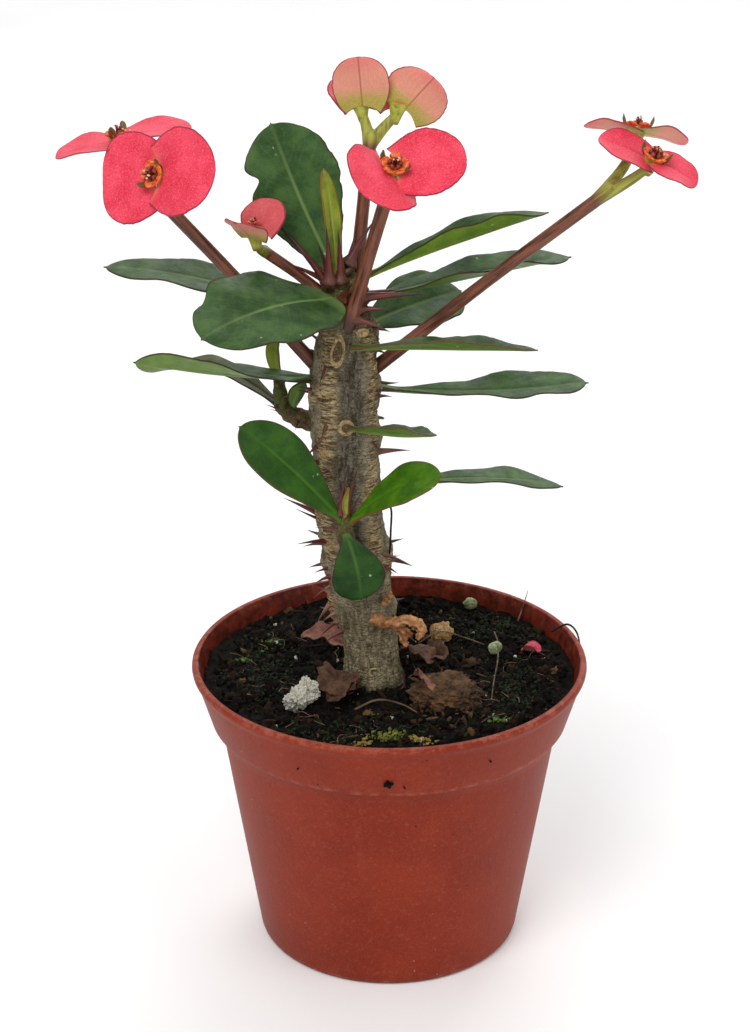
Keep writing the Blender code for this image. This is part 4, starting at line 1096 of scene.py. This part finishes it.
def make_spines():
    rng = random.Random(11)
    pile = Pile()
    for share, azimuth, elevation, length in SPINES:
        axis_point, radius = stem_point(share)
        pale = 0.9 if share < 0.25 and abs(azimuth) > 90 else 0.0
        foot = axis_point + direction(azimuth) * 0.78 * radius
        tip = axis_point + direction(azimuth) * radius + direction(azimuth, elevation) * length * MM
        add_spine(pile, foot, tip, (0.85 + 0.03 * length) * MM, rng.uniform(-0.3, 0.5) * MM, pale)
        for turn in ((22, -26) if share < CROWN_SHARE else ()):
            turn = turn * rng.uniform(0.7, 1.2)
            foot = axis_point + direction(azimuth + turn) * 0.84 * radius
            foot -= UP * rng.uniform(0, 1.6) * MM
            small = length * rng.uniform(0.4, 0.75) * MM
            heading = direction(azimuth + 1.5 * turn, elevation + rng.uniform(-35, 15))
            add_spine(pile, foot, foot + heading * (small + 0.2 * radius), 0.62 * MM,
                      rng.uniform(-0.2, 0.3) * MM, pale)
    for carrier, (inside, outside, width, bend, rows) in SMALL_SPINES.items():
        for share, azimuth, elevation, length in rows:
            axis_point, radius = carrier_point(carrier, share)
            start = axis_point + direction(azimuth) * outside * radius
            add_spine(pile, axis_point + direction(azimuth) * inside * radius,
                      start + direction(azimuth, elevation) * length * MM, width * MM, bend * MM)
    for foot, tip, radius, pale in LONG_SPINES:
        add_spine(pile, Vector(foot) * MM, Vector(tip) * MM, radius * MM, 0.3 * MM, pale)
    pile.make("spines", spine_material())


def make_crown():
    """Swollen green-brown leaf feet and bud scales that cover the stem's tip."""
    rng = random.Random(17)
    pile = Pile()
    for i in range(CROWN_SCALES):
        azimuth = i * GOLDEN_ANGLE
        axis_point, radius = stem_point(rng.uniform(0.86, 1.0))
        spot = axis_point + direction(azimuth) * radius * rng.uniform(0.7, 0.95)
        out = direction(azimuth, rng.uniform(35, 70))
        side = UP.cross(direction(azimuth)).normalized()
        turn = Matrix((side, out.cross(side).normalized(), out)).transposed()
        size = rng.uniform(0.8, 1.5) * MM
        verts, faces = ball(spot, (size, 0.7 * size, 1.7 * size), turn, 3, 0.3, rng.uniform(0, 99))
        pile.add(verts, faces, along=rng.uniform(0.1, 0.9))
    pile.make("crown_scales", shoot_material())


def make_shoots():
    material = shoot_material()
    for name, design in SHOOTS.items():
        points, radii = shoot_path(design, 14)

        def knobbly(share, angle, seed=len(name)):
            point = (math.cos(angle), math.sin(angle), 9.0 * share)
            return 1.0 + 0.16 * fractal(point, 0.9, seed) + 0.06 * math.sin(40 * share + 2 * angle)

        verts, faces, along = tube(points, radii, 30, knobbly)
        add_piece("bark_" + name, verts, faces, material, [name], {"along": along})


def bark_surface(azimuth, height, lift):
    """The point lift outside the bark at this azimuth and height."""
    centre, radius = stem_centre(height)
    near = [bark_offset(math.radians(azimuth + step) % (2 * math.pi), height, radius)[0]
            for step in (-6, 0, 6)]
    return centre + direction(azimuth) * (radius + sum(near) / 3 + 0.12 * MM + lift)


def make_scars():
    """Leaf and branch scars: a raised ring round a sunken face, laid on the bark."""
    pile = Pile()
    for azimuth, height, width, tall, dark in SCARS:
        degrees = math.degrees(MM / stem_centre(height * MM)[1])
        verts, tints = [], []
        for size, lift, tint in SCAR_PROFILE:
            for angle in around(SCAR_SIDES):
                wobble = 1.0 + 0.08 * fractal((math.cos(angle), math.sin(angle), azimuth), 0.6)
                x = 0.5 * width * size * math.cos(angle) * wobble
                z = 0.5 * tall * size * math.sin(angle) * wobble
                verts.append(bark_surface(azimuth + degrees * x, (height + z) * MM, lift * MM))
                tints.append(tint * dark)
        verts += [bark_surface(azimuth, height * MM, lift * MM) for lift in (-1.6, -0.1)]
        pile.add(verts, ring_faces(len(SCAR_PROFILE), SCAR_SIDES), tint=tints + [0.0, 0.8 * dark])
    pile.make("bark_scars", scar_material())


# --- Stalks and flowers ---

def fused(name, solids, material, replaces, measure):
    """Joins overlapping solids into one smooth skin; measure(point) gives along and grain."""
    pile = Pile()
    for solid in solids:
        pile.add(*solid[:2])
    obj = new_object(name, bpy.data.meshes.new(name))
    obj.data.from_pydata([tuple(v) for v in pile.verts], [], pile.faces)
    remesh = obj.modifiers.new("Fuse", "REMESH")
    remesh.mode = "VOXEL"
    remesh.voxel_size = STALK_VOXEL
    relax = obj.modifiers.new("Relax", "SMOOTH")
    relax.iterations = 6
    relax.factor = 0.5
    made = applied_mesh(obj)
    bpy.data.objects.remove(obj)
    verts = [v.co.copy() for v in made.vertices]
    faces = [tuple(p.vertices) for p in made.polygons]
    bpy.data.meshes.remove(made)
    along, grain = zip(*(measure(v) for v in verts))
    add_piece(name, verts, faces, material, replaces, {"along": along, "grain": grain})


def make_cup(name, centre, facing, material):
    """A green funnel under the bracts, widening from its foot to a softly lobed rim."""
    waist = centre - facing * 0.3 * CUP_LENGTH
    verts, along = [], []
    for i, (height, size) in enumerate(CUP_PROFILE):
        for angle in around(CUP_SIDES):
            out = spoke(facing, angle)
            lobe = 1.0 + 0.06 * math.cos(5 * angle) * float(smoothstep(-0.3, 0.4, height))
            verts.append(waist + facing * height * CUP_LENGTH + out * CUP_RADIUS * size * lobe)
            along.append(min(i, 8) / 8)
    verts += [waist + facing * (CUP_PROFILE[i][0] * CUP_LENGTH - 0.2 * MM) for i in (0, -1)]
    add_piece("skin_" + name + "_cup", verts, ring_faces(len(CUP_PROFILE), CUP_SIDES), material,
              [name + "_cup"], {"along": along + [0.0, 1.0]})


def make_glands(name, centre, facing, material, seed):
    """Nectar glands round the cup's mouth, stamens and styles inside them, scales outside."""
    rng = random.Random(seed)
    pile = Pile()
    size = GLAND_SIZES.get(name, 1.0)
    broad = size * MM
    mouth = centre + facing * (0.08 + 0.5 * (1.0 - size)) * CUP_LENGTH
    for i in range(GLANDS):
        out = spoke(facing, 2 * math.pi * (i + 0.5) / GLANDS + rng.uniform(-0.08, 0.08))
        turn = Matrix((facing.cross(out), (out * 0.85 + facing * 0.5).normalized(),
                       (facing * 0.85 - out * 0.5).normalized())).transposed()
        spot = mouth + out * 2.35 * broad
        lip = spot + (facing * 0.4 - out * 0.95) * broad
        for place, shape, detail, tint in ((spot, (1.5, 1.2, 0.5), 3, 0.0),
                                           (lip, (0.7, 0.4, 0.75), 2, 0.5)):
            pile.add(*ball(place, [broad * x for x in shape], turn, detail, 0.15, seed + i),
                     tint=tint)
    for i in range(STAMENS):
        out = spoke(facing, rng.uniform(0, 2 * math.pi))
        lean = rng.uniform(0.1, 0.75)
        foot = mouth + (out * lean - facing) * 0.6 * MM
        tip = mouth + (out * 1.9 * lean + facing * rng.uniform(1.1, 2.3)) * broad
        middle = foot.lerp(tip, 0.5) + out * 0.15 * MM
        points, radii = smooth_path([foot, middle, tip], [0.17 * MM, 0.14 * MM, 0.12 * MM], 4)
        pile.add(*tube(points, radii, 8)[:2], tint=0.55)
        pile.add(*ball(tip, (0.30 * MM, 0.24 * MM, 0.22 * MM), STRAIGHT, 2, 0.2, i),
                 tint=0.6 if i % 3 else 1.0)
    for i in range(2 if size == 1.0 else 0):
        out = spoke(facing, 2 * math.pi * (0.1 + 0.5 * i) + 0.3 * seed)
        foot = mouth + (out * 2.6 - facing * 0.9) * MM
        scale = blade_solid(foot, unit(facing + 0.35 * out) * 3.6 * MM, out, 2.1 * MM, ELLIPTIC,
                            rows=24, columns=11, thickness=0.3 * MM, foot_width=1.6 * MM,
                            foot_thickness=0.4 * MM, fold=25, keel=0.1 * MM, seed=seed)
        pile.add(*scale[:2], tint=0.7)
    pile.make("glands_" + name, material)


def make_bract(node, centre, facing, bract, lift, skin, seed):
    run, top, length, width = bract
    heading = unit(run)
    steep = max(heading.dot(facing), 0.0)
    outward = (heading - facing * heading.dot(facing)).normalized()
    waist = centre + facing * (lift - 0.3 * CUP_LENGTH)
    verts, faces, values = blade_solid(
        waist + outward * (0.5 + 0.45 * steep) * CUP_RADIUS, heading * length * MM, unit(top),
        width * MM, BRACT_OUTLINE, rows=56, columns=41, thickness=BRACT_THICKNESS,
        foot_width=BRACT_FOOT_SHARE * width * MM, foot_thickness=0.7 * MM, arch=BRACT_ARCH,
        cup=0.07 * width * MM, cordate=BRACT_CORDATE * length * MM, wave=0.3 * MM, wave_count=1.5,
        rough_edge=0.025, keel=0.15 * MM, seed=seed, point_length=0.0001, petiole=0.06)
    add_piece("petal_" + node, verts, faces, skin, [node], values)


def make_flowers():
    coral = bract_material("bract_coral", (216, 38, 66), (234, 66, 91), (226, 148, 130),
                           (170, 160, 70))
    pale = bract_material("bract_pale", (206, 82, 88), (222, 104, 106), (214, 140, 118),
                          (160, 152, 58))
    cup_skin, gland_skin, stalk_skin = cup_material(), gland_material(), stalk_material()
    for stalk, (share, azimuth, reach, radius) in STALKS.items():
        axis_point, stem_radius = stem_point(share)
        start = axis_point + direction(azimuth) * SEAT_DEPTH * stem_radius
        axis = Vector(reach) * MM
        fork = start + axis
        radius *= STALK_SLIMNESS * MM
        middle = start.lerp(fork, 0.5) + UP * STALK_BEND
        inward = start - direction(azimuth) * 0.25 * stem_radius
        points, radii = smooth_path([inward, start, middle, fork],
                                    [radius * x for x in (1.25, 1.12, 0.95, 1.0)], 20)
        solids = [tube(points, radii, 28)]
        for i, (name, carrier, offset, faces_to, bracts) in enumerate(FLOWERS):
            if carrier != stalk:
                continue
            centre = fork + Vector(offset) * MM
            facing = unit(faces_to)
            make_cup(name, centre, facing, cup_skin)
            make_glands(name, centre, facing, gland_skin, 30 + i)
            foot = centre - facing * 0.55 * CUP_LENGTH
            knee = foot.lerp(fork, 0.5) - facing * 0.15 * CUP_LENGTH
            points, radii = smooth_path([fork.lerp(middle, 0.12), knee, foot],
                                        [radius * x for x in (0.95, 0.82, 0.66)], 12)
            solids.append(tube(points, radii, 24))
            skin = pale if name in GLAND_SIZES else coral
            for letter, lift, bract in zip("ba", (BRACT_OFFSET, 0.0), reversed(bracts)):
                make_bract(name + "_bract_" + letter, centre, facing, bract, lift, skin,
                           50.0 + 2 * i + lift / MM)
        solids.append(ball(fork, (1.05 * radius, 1.05 * radius, 1.1 * radius), STRAIGHT, 3))

        def measure(point, start=start, axis=axis):
            along = (point - start).dot(axis) / axis.length_squared
            grain = point - start - axis * along * (1.0 - GRAIN_STRETCH)
            return min(max(along, 0.0), 1.0), grain

        fused("skin_" + stalk, solids, stalk_skin, [stalk], measure)


# --- Pot ---

def pot_outline():
    """Radius and height all round the pot's wall: the inside first, then the outside."""
    collar_foot = POT_HEIGHT - COLLAR_HEIGHT
    body = COLLAR_FOOT_RADIUS - COLLAR_STEP
    collar, rim, base = COLLAR_FOOT_RADIUS, POT_RIM_RADIUS, POT_BASE_RADIUS
    bead_foot = POT_HEIGHT - RIM_BEAD_HEIGHT
    beaded = rim - RIM_BEAD_DEPTH
    floor_top = FOOT_HEIGHT + POT_FLOOR
    foot_inside = base - FOOT_WIDTH
    rows = [  # radius and what is added to it in mm, height and what is added to it in mm
        (0.0, 0, floor_top, 0), (base - POT_WALL, -1.0, floor_top, 0),
        (base - POT_WALL, 0, floor_top, 1.0), (body - POT_WALL, 0, collar_foot - POT_WALL, 0),
        (collar - POT_WALL, 0, collar_foot, 0), (beaded - POT_WALL, 0, POT_HEIGHT, -0.8),
        (beaded - POT_WALL, 0.25, POT_HEIGHT, -0.2), (beaded - POT_WALL, 0.65, POT_HEIGHT, 0),
        (rim, -0.45, POT_HEIGHT, -0.15), (rim, -0.08, POT_HEIGHT, -0.7),
        (rim, 0, POT_HEIGHT, -1.2), (rim, -0.12, POT_HEIGHT, -1.8), (rim, -0.5, bead_foot, 0),
        (beaded, -0.32, bead_foot, -0.6), (beaded, -0.6, bead_foot, -1.6),
        (collar, 0.15, collar_foot, 1.6), (collar, -0.15, collar_foot, 0.6),
        (collar, -0.75, collar_foot, 0), (body, 0.9, collar_foot, -0.7),
        (body, 0.35, collar_foot, -1.3), (body, 0.15, collar_foot, -2.2),
        (body, -0.22, collar_foot, -3.0), (body, -0.45, collar_foot, -4.2),
        (base, 0.35, FOOT_ROUNDING, 0.5), (base, 0.05, 0.0, 0.75), (base, -0.35, 0.0, 0.22),
        (base, -0.85, 0.0, 0), (foot_inside, 0, 0.0, 0), (foot_inside, -0.5, FOOT_HEIGHT, 0),
        (REST_PAD_RADIUS, 0.5, FOOT_HEIGHT, 0), (REST_PAD_RADIUS, 0, 0.0, 0), (0.0, 0, 0.0, 0)]
    corners = [(radius + out * MM, height + up * MM) for radius, out, height, up in rows]
    outline = []
    for first, second in zip(corners, corners[1:]):
        steps = max(1, int(math.dist(first, second) / POT_RING_STEP))
        outline += [(first[0] + (second[0] - first[0]) * i / steps,
                     first[1] + (second[1] - first[1]) * i / steps) for i in range(steps)]
    return outline[1:]


def make_pot():
    """The moulded pot, turned in fine steps, with its drain holes cut through the floor."""
    outline = pot_outline()
    verts, ridge, within = [], [], []
    # ridge marks the rim, the collar step and the base edge for the painted highlight and wear.
    edges = (POT_HEIGHT - 0.4 * MM, POT_HEIGHT - COLLAR_HEIGHT + 0.6 * MM, 0.6 * MM)
    # inside is 1 on the inner wall, where the painted shade goes.
    inside = 1.0
    for radius, height in outline:
        inside = 0.0 if height >= POT_HEIGHT - 0.1 * MM else inside
        verts += [ring_spot(angle) * radius + UP * height for angle in around(POT_SIDES)]
        ridge += [max(math.exp(-((height - edge) / EDGE_HIGHLIGHT_AND_WEAR_REACH) ** 2)
                      for edge in edges)] * POT_SIDES
        within += [inside] * POT_SIDES
    verts += [UP * (FOOT_HEIGHT + POT_FLOOR), UP * 0.0]
    faces = [tuple(reversed(face)) for face in ring_faces(len(outline), POT_SIDES)]
    pot = add_piece("moulded_pot", verts, faces, pot_material(), ["pot"],
                    {"ridge": ridge + [0.0, 0.0], "inside": within + [1.0, 0.0]})
    bm = bmesh.new()
    for i in range(DRAIN_HOLES):
        spot = direction(360.0 * (i + 0.5) / DRAIN_HOLES) * DRAIN_CIRCLE_RADIUS
        bmesh.ops.create_cone(bm, cap_ends=True, segments=40, radius1=DRAIN_HOLE_RADIUS,
                              radius2=DRAIN_HOLE_RADIUS, depth=4 * (FOOT_HEIGHT + POT_FLOOR),
                              matrix=Matrix.Translation(spot))
    drills = new_object("drills", bpy.data.meshes.new("drills"))
    bm.to_mesh(drills.data)
    bm.free()
    cut = pot.modifiers.new("Drain holes", "BOOLEAN")
    cut.solver = "EXACT"
    cut.object = drills
    made = applied_mesh(pot)
    pot.modifiers.clear()
    pot.data = made
    bpy.data.objects.remove(drills)
    made.set_sharp_from_angle(angle=math.radians(38))


# --- Soil and what lies on it ---

def soil_level(x, y):
    """Height of the lumpy soil surface at a place."""
    dish = min(max((math.hypot(x, y) - SOIL_FLAT_RADIUS) / SOIL_DISH_WIDTH, 0.0), 1.0)
    lumps = 1.1 * fractal((x, y, 0.0), 14 * MM, 6.0, 2) + 0.8 * fractal((x, y, 0.0), 4.5 * MM, 9.0)
    return SOIL_LEVEL + SOIL_DISH * dish + (lumps - 0.2) * MM


def make_soil():
    verts = []
    edge = inner_radius(SOIL_LEVEL + SOIL_DISH) - 0.15 * MM
    for i in range(SOIL_RINGS):
        radius = edge * ((i + 1) / SOIL_RINGS) ** 0.8
        for angle in around(SOIL_SIDES):
            x, y = radius * math.cos(angle), radius * math.sin(angle)
            grit = 0.55 * MM * fractal((x, y, 1.0), 1.5 * MM, 2.0)
            verts.append((x, y, soil_level(x, y) + grit))
    skirt = [(edge - 0.4 * MM, SOIL_LEVEL - 3 * MM), (COLLAR_FOOT_RADIUS - 1.9 * MM, 64.4 * MM),
             (COLLAR_FOOT_RADIUS - 4.6 * MM, 62.0 * MM), (POT_BASE_RADIUS - 1.8 * MM, SOIL_FOOT)]
    for radius, height in skirt:
        verts += [ring_spot(angle) * radius + UP * height for angle in around(SOIL_SIDES)]
    verts += [UP * soil_level(0.0, 0.0), UP * SOIL_FOOT]
    faces = [tuple(reversed(face)) for face in ring_faces(SOIL_RINGS + len(skirt), SOIL_SIDES)]
    add_piece("peat_bed", verts, faces, peat_material(), ["soil"])


def scatter(rng, count, reach, clear=9.5 * MM):
    """Random places on the soil, away from the stem."""
    edge = inner_radius(SOIL_LEVEL) * reach
    spots = []
    while len(spots) < count:
        x, y = rng.uniform(-edge, edge), rng.uniform(-edge, edge)
        if math.hypot(x, y) < edge and math.hypot(x + 4 * MM, y) > clear:
            spots.append((x, y))
    return spots


def over_soil(x, y, lift):
    return Vector((x, y, soil_level(x, y) + lift))


def random_shape(rng, *ranges):
    """Three half sizes in metres, each drawn from its range in millimetres."""
    return [rng.uniform(*pair) * MM for pair in ranges]


def add_blob(pile, rng, centre, shape, detail, rough, tint=None):
    """A rough ellipsoid turned at random; tint is a range to draw from."""
    axis = unit((rng.uniform(-1, 1), rng.uniform(-1, 1), rng.uniform(-1, 1)))
    turn = Matrix.Rotation(rng.uniform(0, 2 * math.pi), 3, axis)
    blob = ball(centre, shape, turn, detail, rough, rng.uniform(0, 99))
    pile.add(*blob, **({"tint": rng.uniform(*tint)} if tint else {}))


def make_crumbs():
    rng = random.Random(5)
    pile = Pile()
    for x, y in scatter(rng, CRUMBS, 0.965, 7.5 * MM):
        size = 0.35 + 1.25 * rng.random() ** 5
        shape = [size * rng.uniform(0.6, 1.25) * MM for _ in range(3)]
        add_blob(pile, rng, over_soil(x, y, 0.25 * size * MM), shape, 3 if size > 0.9 else 1, 0.7,
                 (0.0, 1.0))
    for x, y in scatter(rng, SPLINTERS, 0.94):
        shape = random_shape(rng, (1.2, 3.0), (0.25, 0.7), (0.12, 0.3))
        add_blob(pile, rng, over_soil(x, y, 0.6 * MM), shape, 2, 0.25, (0.5, 1.0))
    pile.make("peat_crumbs", crumb_material())


def add_thread(pile, rows, steps=8, sides=8):
    """A thread through rows of x, y, z and radius in millimetres."""
    points, radii = smooth_path([Vector(row[:3]) * MM for row in rows],
                                [row[3] * MM for row in rows], steps)
    pile.add(*tube(points, radii, sides)[:2])


def make_fibres():
    """Fine roots and plant hairs that lie on the soil, and a few longer threads."""
    rng = random.Random(8)
    pile = Pile()
    for x, y in scatter(rng, FIBRES, 0.9):
        heading = rng.uniform(0, 2 * math.pi)
        points = []
        for _ in range(rng.randint(3, 6)):
            points.append(over_soil(x, y, rng.uniform(0.3, 1.4) * MM))
            heading += rng.uniform(-0.9, 0.9)
            x += FIBRE_STEP * math.cos(heading)
            y += FIBRE_STEP * math.sin(heading)
        if max(math.hypot(p.x, p.y) for p in points) > 0.93 * inner_radius(SOIL_LEVEL):
            continue
        points, radii = smooth_path(points, [0.11 * MM] * len(points), 5)
        pile.add(*tube(points, radii, 6)[:2])
    for thread in THREADS:
        add_thread(pile, thread)
    pile.make("root_fibres", dry_material("root_fibre", (64, 48, 38), (132, 104, 82)))


def make_dark_threads():
    pile = Pile()
    add_thread(pile, RIM_HAIR, 10, 10)
    add_thread(pile, HANGING_THREAD)
    pile.make("dark_threads", dry_material("black_root", (9, 7, 7), (30, 24, 22)))


def make_dirt():
    """Spots of dried soil stuck to the pot's collar."""
    rng = random.Random(41)
    pile = Pile()
    for azimuth, height, size in DIRT_SPOTS:
        foot = COLLAR_FOOT_RADIUS + COLLAR_SLOPE * (height * MM - (POT_HEIGHT - COLLAR_HEIGHT))
        spot = direction(azimuth) * foot + UP * height * MM
        for _ in range(5):
            place = spot + Vector([rng.gauss(0, 0.45 * size) for _ in range(3)]) * MM
            shape = [size * rng.uniform(0.4, 0.8) * MM for _ in range(3)]
            add_blob(pile, rng, place, shape, 2, 0.5, (0.0, 0.5))
    pile.make("dirt_spots", crumb_material())


def make_lump(name, skin, slot, replaces, centre, size, seed, detail, rough, fine):
    """A rough lump; its lowest part sits in the soil."""
    verts, faces = ball(Vector(centre) * MM, [0.5 * side * MM for side in size], STRAIGHT,
                        detail, rough, seed, 0.9, fine)
    add_piece(name, verts, faces, skin, replaces)


def make_stones():
    """Perlite, pebbles and small perlite bits."""
    rock = rock_material
    skins = {
        "perlite": rock("perlite", (140, 136, 120), (222, 218, 204), 0.85),
        "ochre": rock("ochre_stone", (140, 98, 52), (214, 190, 146), 0.4, (168, 112, 48)),
        "green": rock("green_pebble", (110, 120, 84), (188, 194, 156), 0.4, (84, 108, 44))}
    for name, look, replaces, *shape in STONES:
        make_lump(name, skins[look], "perlite_white", replaces, *shape)
    rng = random.Random(21)
    pile = Pile()
    for x, y in scatter(rng, PERLITE_BITS, 0.93):
        size = (0.25 + 0.55 * rng.random() ** 2) * MM
        add_blob(pile, rng, over_soil(x, y, 0.6 * size), (size, 0.8 * size, 0.7 * size), 3, 0.6)
    pile.make("perlite_bits", skins["perlite"])


def make_clump():
    """The brown clump with loose bark chips over it."""
    skin = dry_material("bark_clump", (26, 17, 12), (104, 74, 46), 0.5, 0.9)
    make_lump("bark_clump", skin, "bark_brown", ["bark_lump"], (15.0, -13.0, 75.6),
              (18.0, 16.0, 8.6), 7.0, 6, 0.2, 0.15)
    rng = random.Random(33)
    pile = Pile()
    for _ in range(CHIPS):
        x = (14.5 + rng.gauss(0, 4.6)) * MM
        y = (-12.0 + rng.gauss(0, 5.4)) * MM
        reach = math.hypot((x / MM - 15.0) / 10.0, (y / MM + 13.5) / 8.0)
        rise = 2.6 * MM * max(0.0, 1.0 - reach ** 2)
        spot = over_soil(x, y, rise + rng.uniform(0.1, 0.8) * MM)
        add_blob(pile, rng, spot, random_shape(rng, (0.5, 1.9), (0.2, 0.6), (0.1, 0.3)), 2, 0.5)
    pile.make("bark_chips", skin)


def make_dead_leaves():
    """Fallen leaves and bits of them, and a fallen petal."""
    skins = {"pale": dry_material("dead_leaf_pale", (96, 56, 44), (146, 98, 80), 0.7, 0.7),
             "brown": dry_material("dead_leaf_brown", (48, 30, 20), (104, 70, 48), 0.9, 0.7)}
    for i, row in enumerate(DEAD_LEAVES):
        name, replaces, foot, reach, width, roll, arch, fold, crumple, look = row
        verts, faces, values = blade_solid(
            Vector(foot) * MM, Vector(reach) * MM, UP, width * MM, OBLONG, rows=60, columns=31,
            thickness=0.5 * MM, foot_width=1.6 * MM, foot_thickness=0.9 * MM, roll=roll,
            arch=arch * MM, fold=fold, wave=0.7 * MM, rough_edge=0.25, keel=0.3 * MM,
            crumple=crumple * MM, seed=80.0 + i)
        add_piece(name, verts, faces, skins[look], replaces, values)
    petal = bract_material("dry_petal", (150, 36, 52), (206, 80, 92), (190, 90, 90), (160, 110, 80))
    verts, faces, values = blade_solid(
        Vector((36.0, 9.5, 77.2)) * MM, Vector((5.0, -2.0, 0.6)) * MM, UP, 5 * MM, BRACT_OUTLINE,
        rows=36, columns=21, thickness=0.4 * MM, foot_width=1.5 * MM, foot_thickness=0.5 * MM,
        fold=35, arch=0.6 * MM, crumple=0.8 * MM, seed=91.0)
    add_piece("fallen_petal", verts, faces, petal, (), values)


def make_moss():
    """Cushions of small leafy blobs, from green moss to dark algae."""
    skins = {"yellow": dry_material("moss_yellow", (60, 76, 20), (140, 136, 48), 0.6, 0.85),
             "ochre": dry_material("moss_ochre", (104, 84, 34), (176, 150, 80), 0.6, 0.85),
             "green": dry_material("moss_green", (40, 66, 18), (96, 124, 46), 0.5, 0.85),
             "dark": dry_material("moss_dark", (8, 14, 5), (34, 48, 18), 0.8, 0.9)}
    for i, (name, x, y, wide, deep, count, look) in enumerate(MOSS):
        rng = random.Random(60 + i)
        pile = Pile()
        for _ in range(count):
            spot = [(x + rng.gauss(0, wide * 0.4)) * MM, (y + rng.gauss(0, deep * 0.4)) * MM]
            size = rng.uniform(0.3, 0.75) * MM
            lift = rng.uniform(0.2, 1.1) * MM
            if math.hypot(*spot) > 0.955 * inner_radius(SOIL_LEVEL):
                continue
            shape = (size, size * rng.uniform(0.4, 0.8), size * rng.uniform(0.3, 0.6))
            add_blob(pile, rng, over_soil(*spot, lift), shape, 2, 0.5)
        pile.make("moss_" + name, skins[look])


def make_dried_stub():
    """The wrinkled remains of a flower stalk, with scraps beside it."""
    def wrinkled(share, angle):
        point = (math.cos(angle), math.sin(angle), 12.0 * share)
        cut = 0.45 * math.exp(-(share / 0.10) ** 2)
        return (1.0 + cut + 0.55 * fractal(point, 0.8, 3.0) + 0.18 * math.cos(3 * angle + 9 * share)
                + 0.10 * math.sin(60 * share + 2 * angle))

    points, radii = shoot_path(DRIED_STUB, 16)
    verts, faces, along = tube(points, radii, 36, wrinkled)
    skin = dry_material("dried_flower", (120, 68, 36), (206, 152, 100), 1.0, 0.65)
    add_piece("skin_dried_stub", verts, faces, skin, ["dried_flower_stub"],
              {"along": along})
    pile = Pile()
    for i, (foot, reach, width) in enumerate(STUB_BITS):
        scrap = blade_solid(
            Vector(foot) * MM, Vector(reach) * MM, Vector((0.3, -1.0, 0.4)), width * MM, OBLONG,
            rows=44, columns=19, thickness=0.6 * MM, foot_width=1.8 * MM, foot_thickness=1.0 * MM,
            fold=35, wave=0.5 * MM, rough_edge=0.45, crumple=1.3 * MM, seed=120.0 + i)
        pile.add(*scrap[:2])
    pile.make("dried_flower_bits", skin)


# --- Stage ---

def make_stage():
    s = Shader("studio_floor")
    s.colour = s.blend(s.noise(0.15, 3, 0.5), 0.3, 0.7, FLOOR_DARK, FLOOR_LIGHT)
    bpy.ops.mesh.primitive_plane_add(size=8.0, location=(0.0, 0.0, -0.0002))
    floor = bpy.context.object
    floor.name = "studio_floor"
    floor.data.materials.append(s.finish(0.9))
    scene = bpy.context.scene
    scene.world = bpy.data.worlds.new("studio")
    scene.world.use_nodes = True
    background = scene.world.node_tree.nodes["Background"]
    background.inputs["Color"].default_value = (1.0, 1.0, 1.0, 1.0)
    background.inputs["Strength"].default_value = SKY_STRENGTH
    for name, place, aim, energy, size in LIGHTS:
        data = bpy.data.lights.new(name, "AREA")
        data.energy, data.shape, data.size = energy, "DISK", size
        light = new_object(name, data)
        light.location = place
        light.rotation_mode = "QUATERNION"
        light.rotation_quaternion = (Vector(aim) - Vector(place)).to_track_quat("-Z", "Y")
    data = bpy.data.cameras.new("camera")
    data.lens, data.sensor_width, data.clip_start = CAMERA_LENS, 36.0, 0.05
    camera = new_object("camera", data)
    camera.location = CAMERA_PLACE
    camera.rotation_euler = (math.radians(90.0 - CAMERA_PITCH), 0.0, 0.0)
    scene.camera = camera
    scene.view_settings.view_transform = "Standard"


make_stage()
make_pot()
make_soil()
make_crumbs()
make_fibres()
make_dirt()
make_stones()
make_clump()
make_dead_leaves()
make_moss()
make_dark_threads()
make_stem()
make_scars()
make_spines()
make_crown()
make_shoots()
make_leaves()
make_flowers()
make_dried_stub()
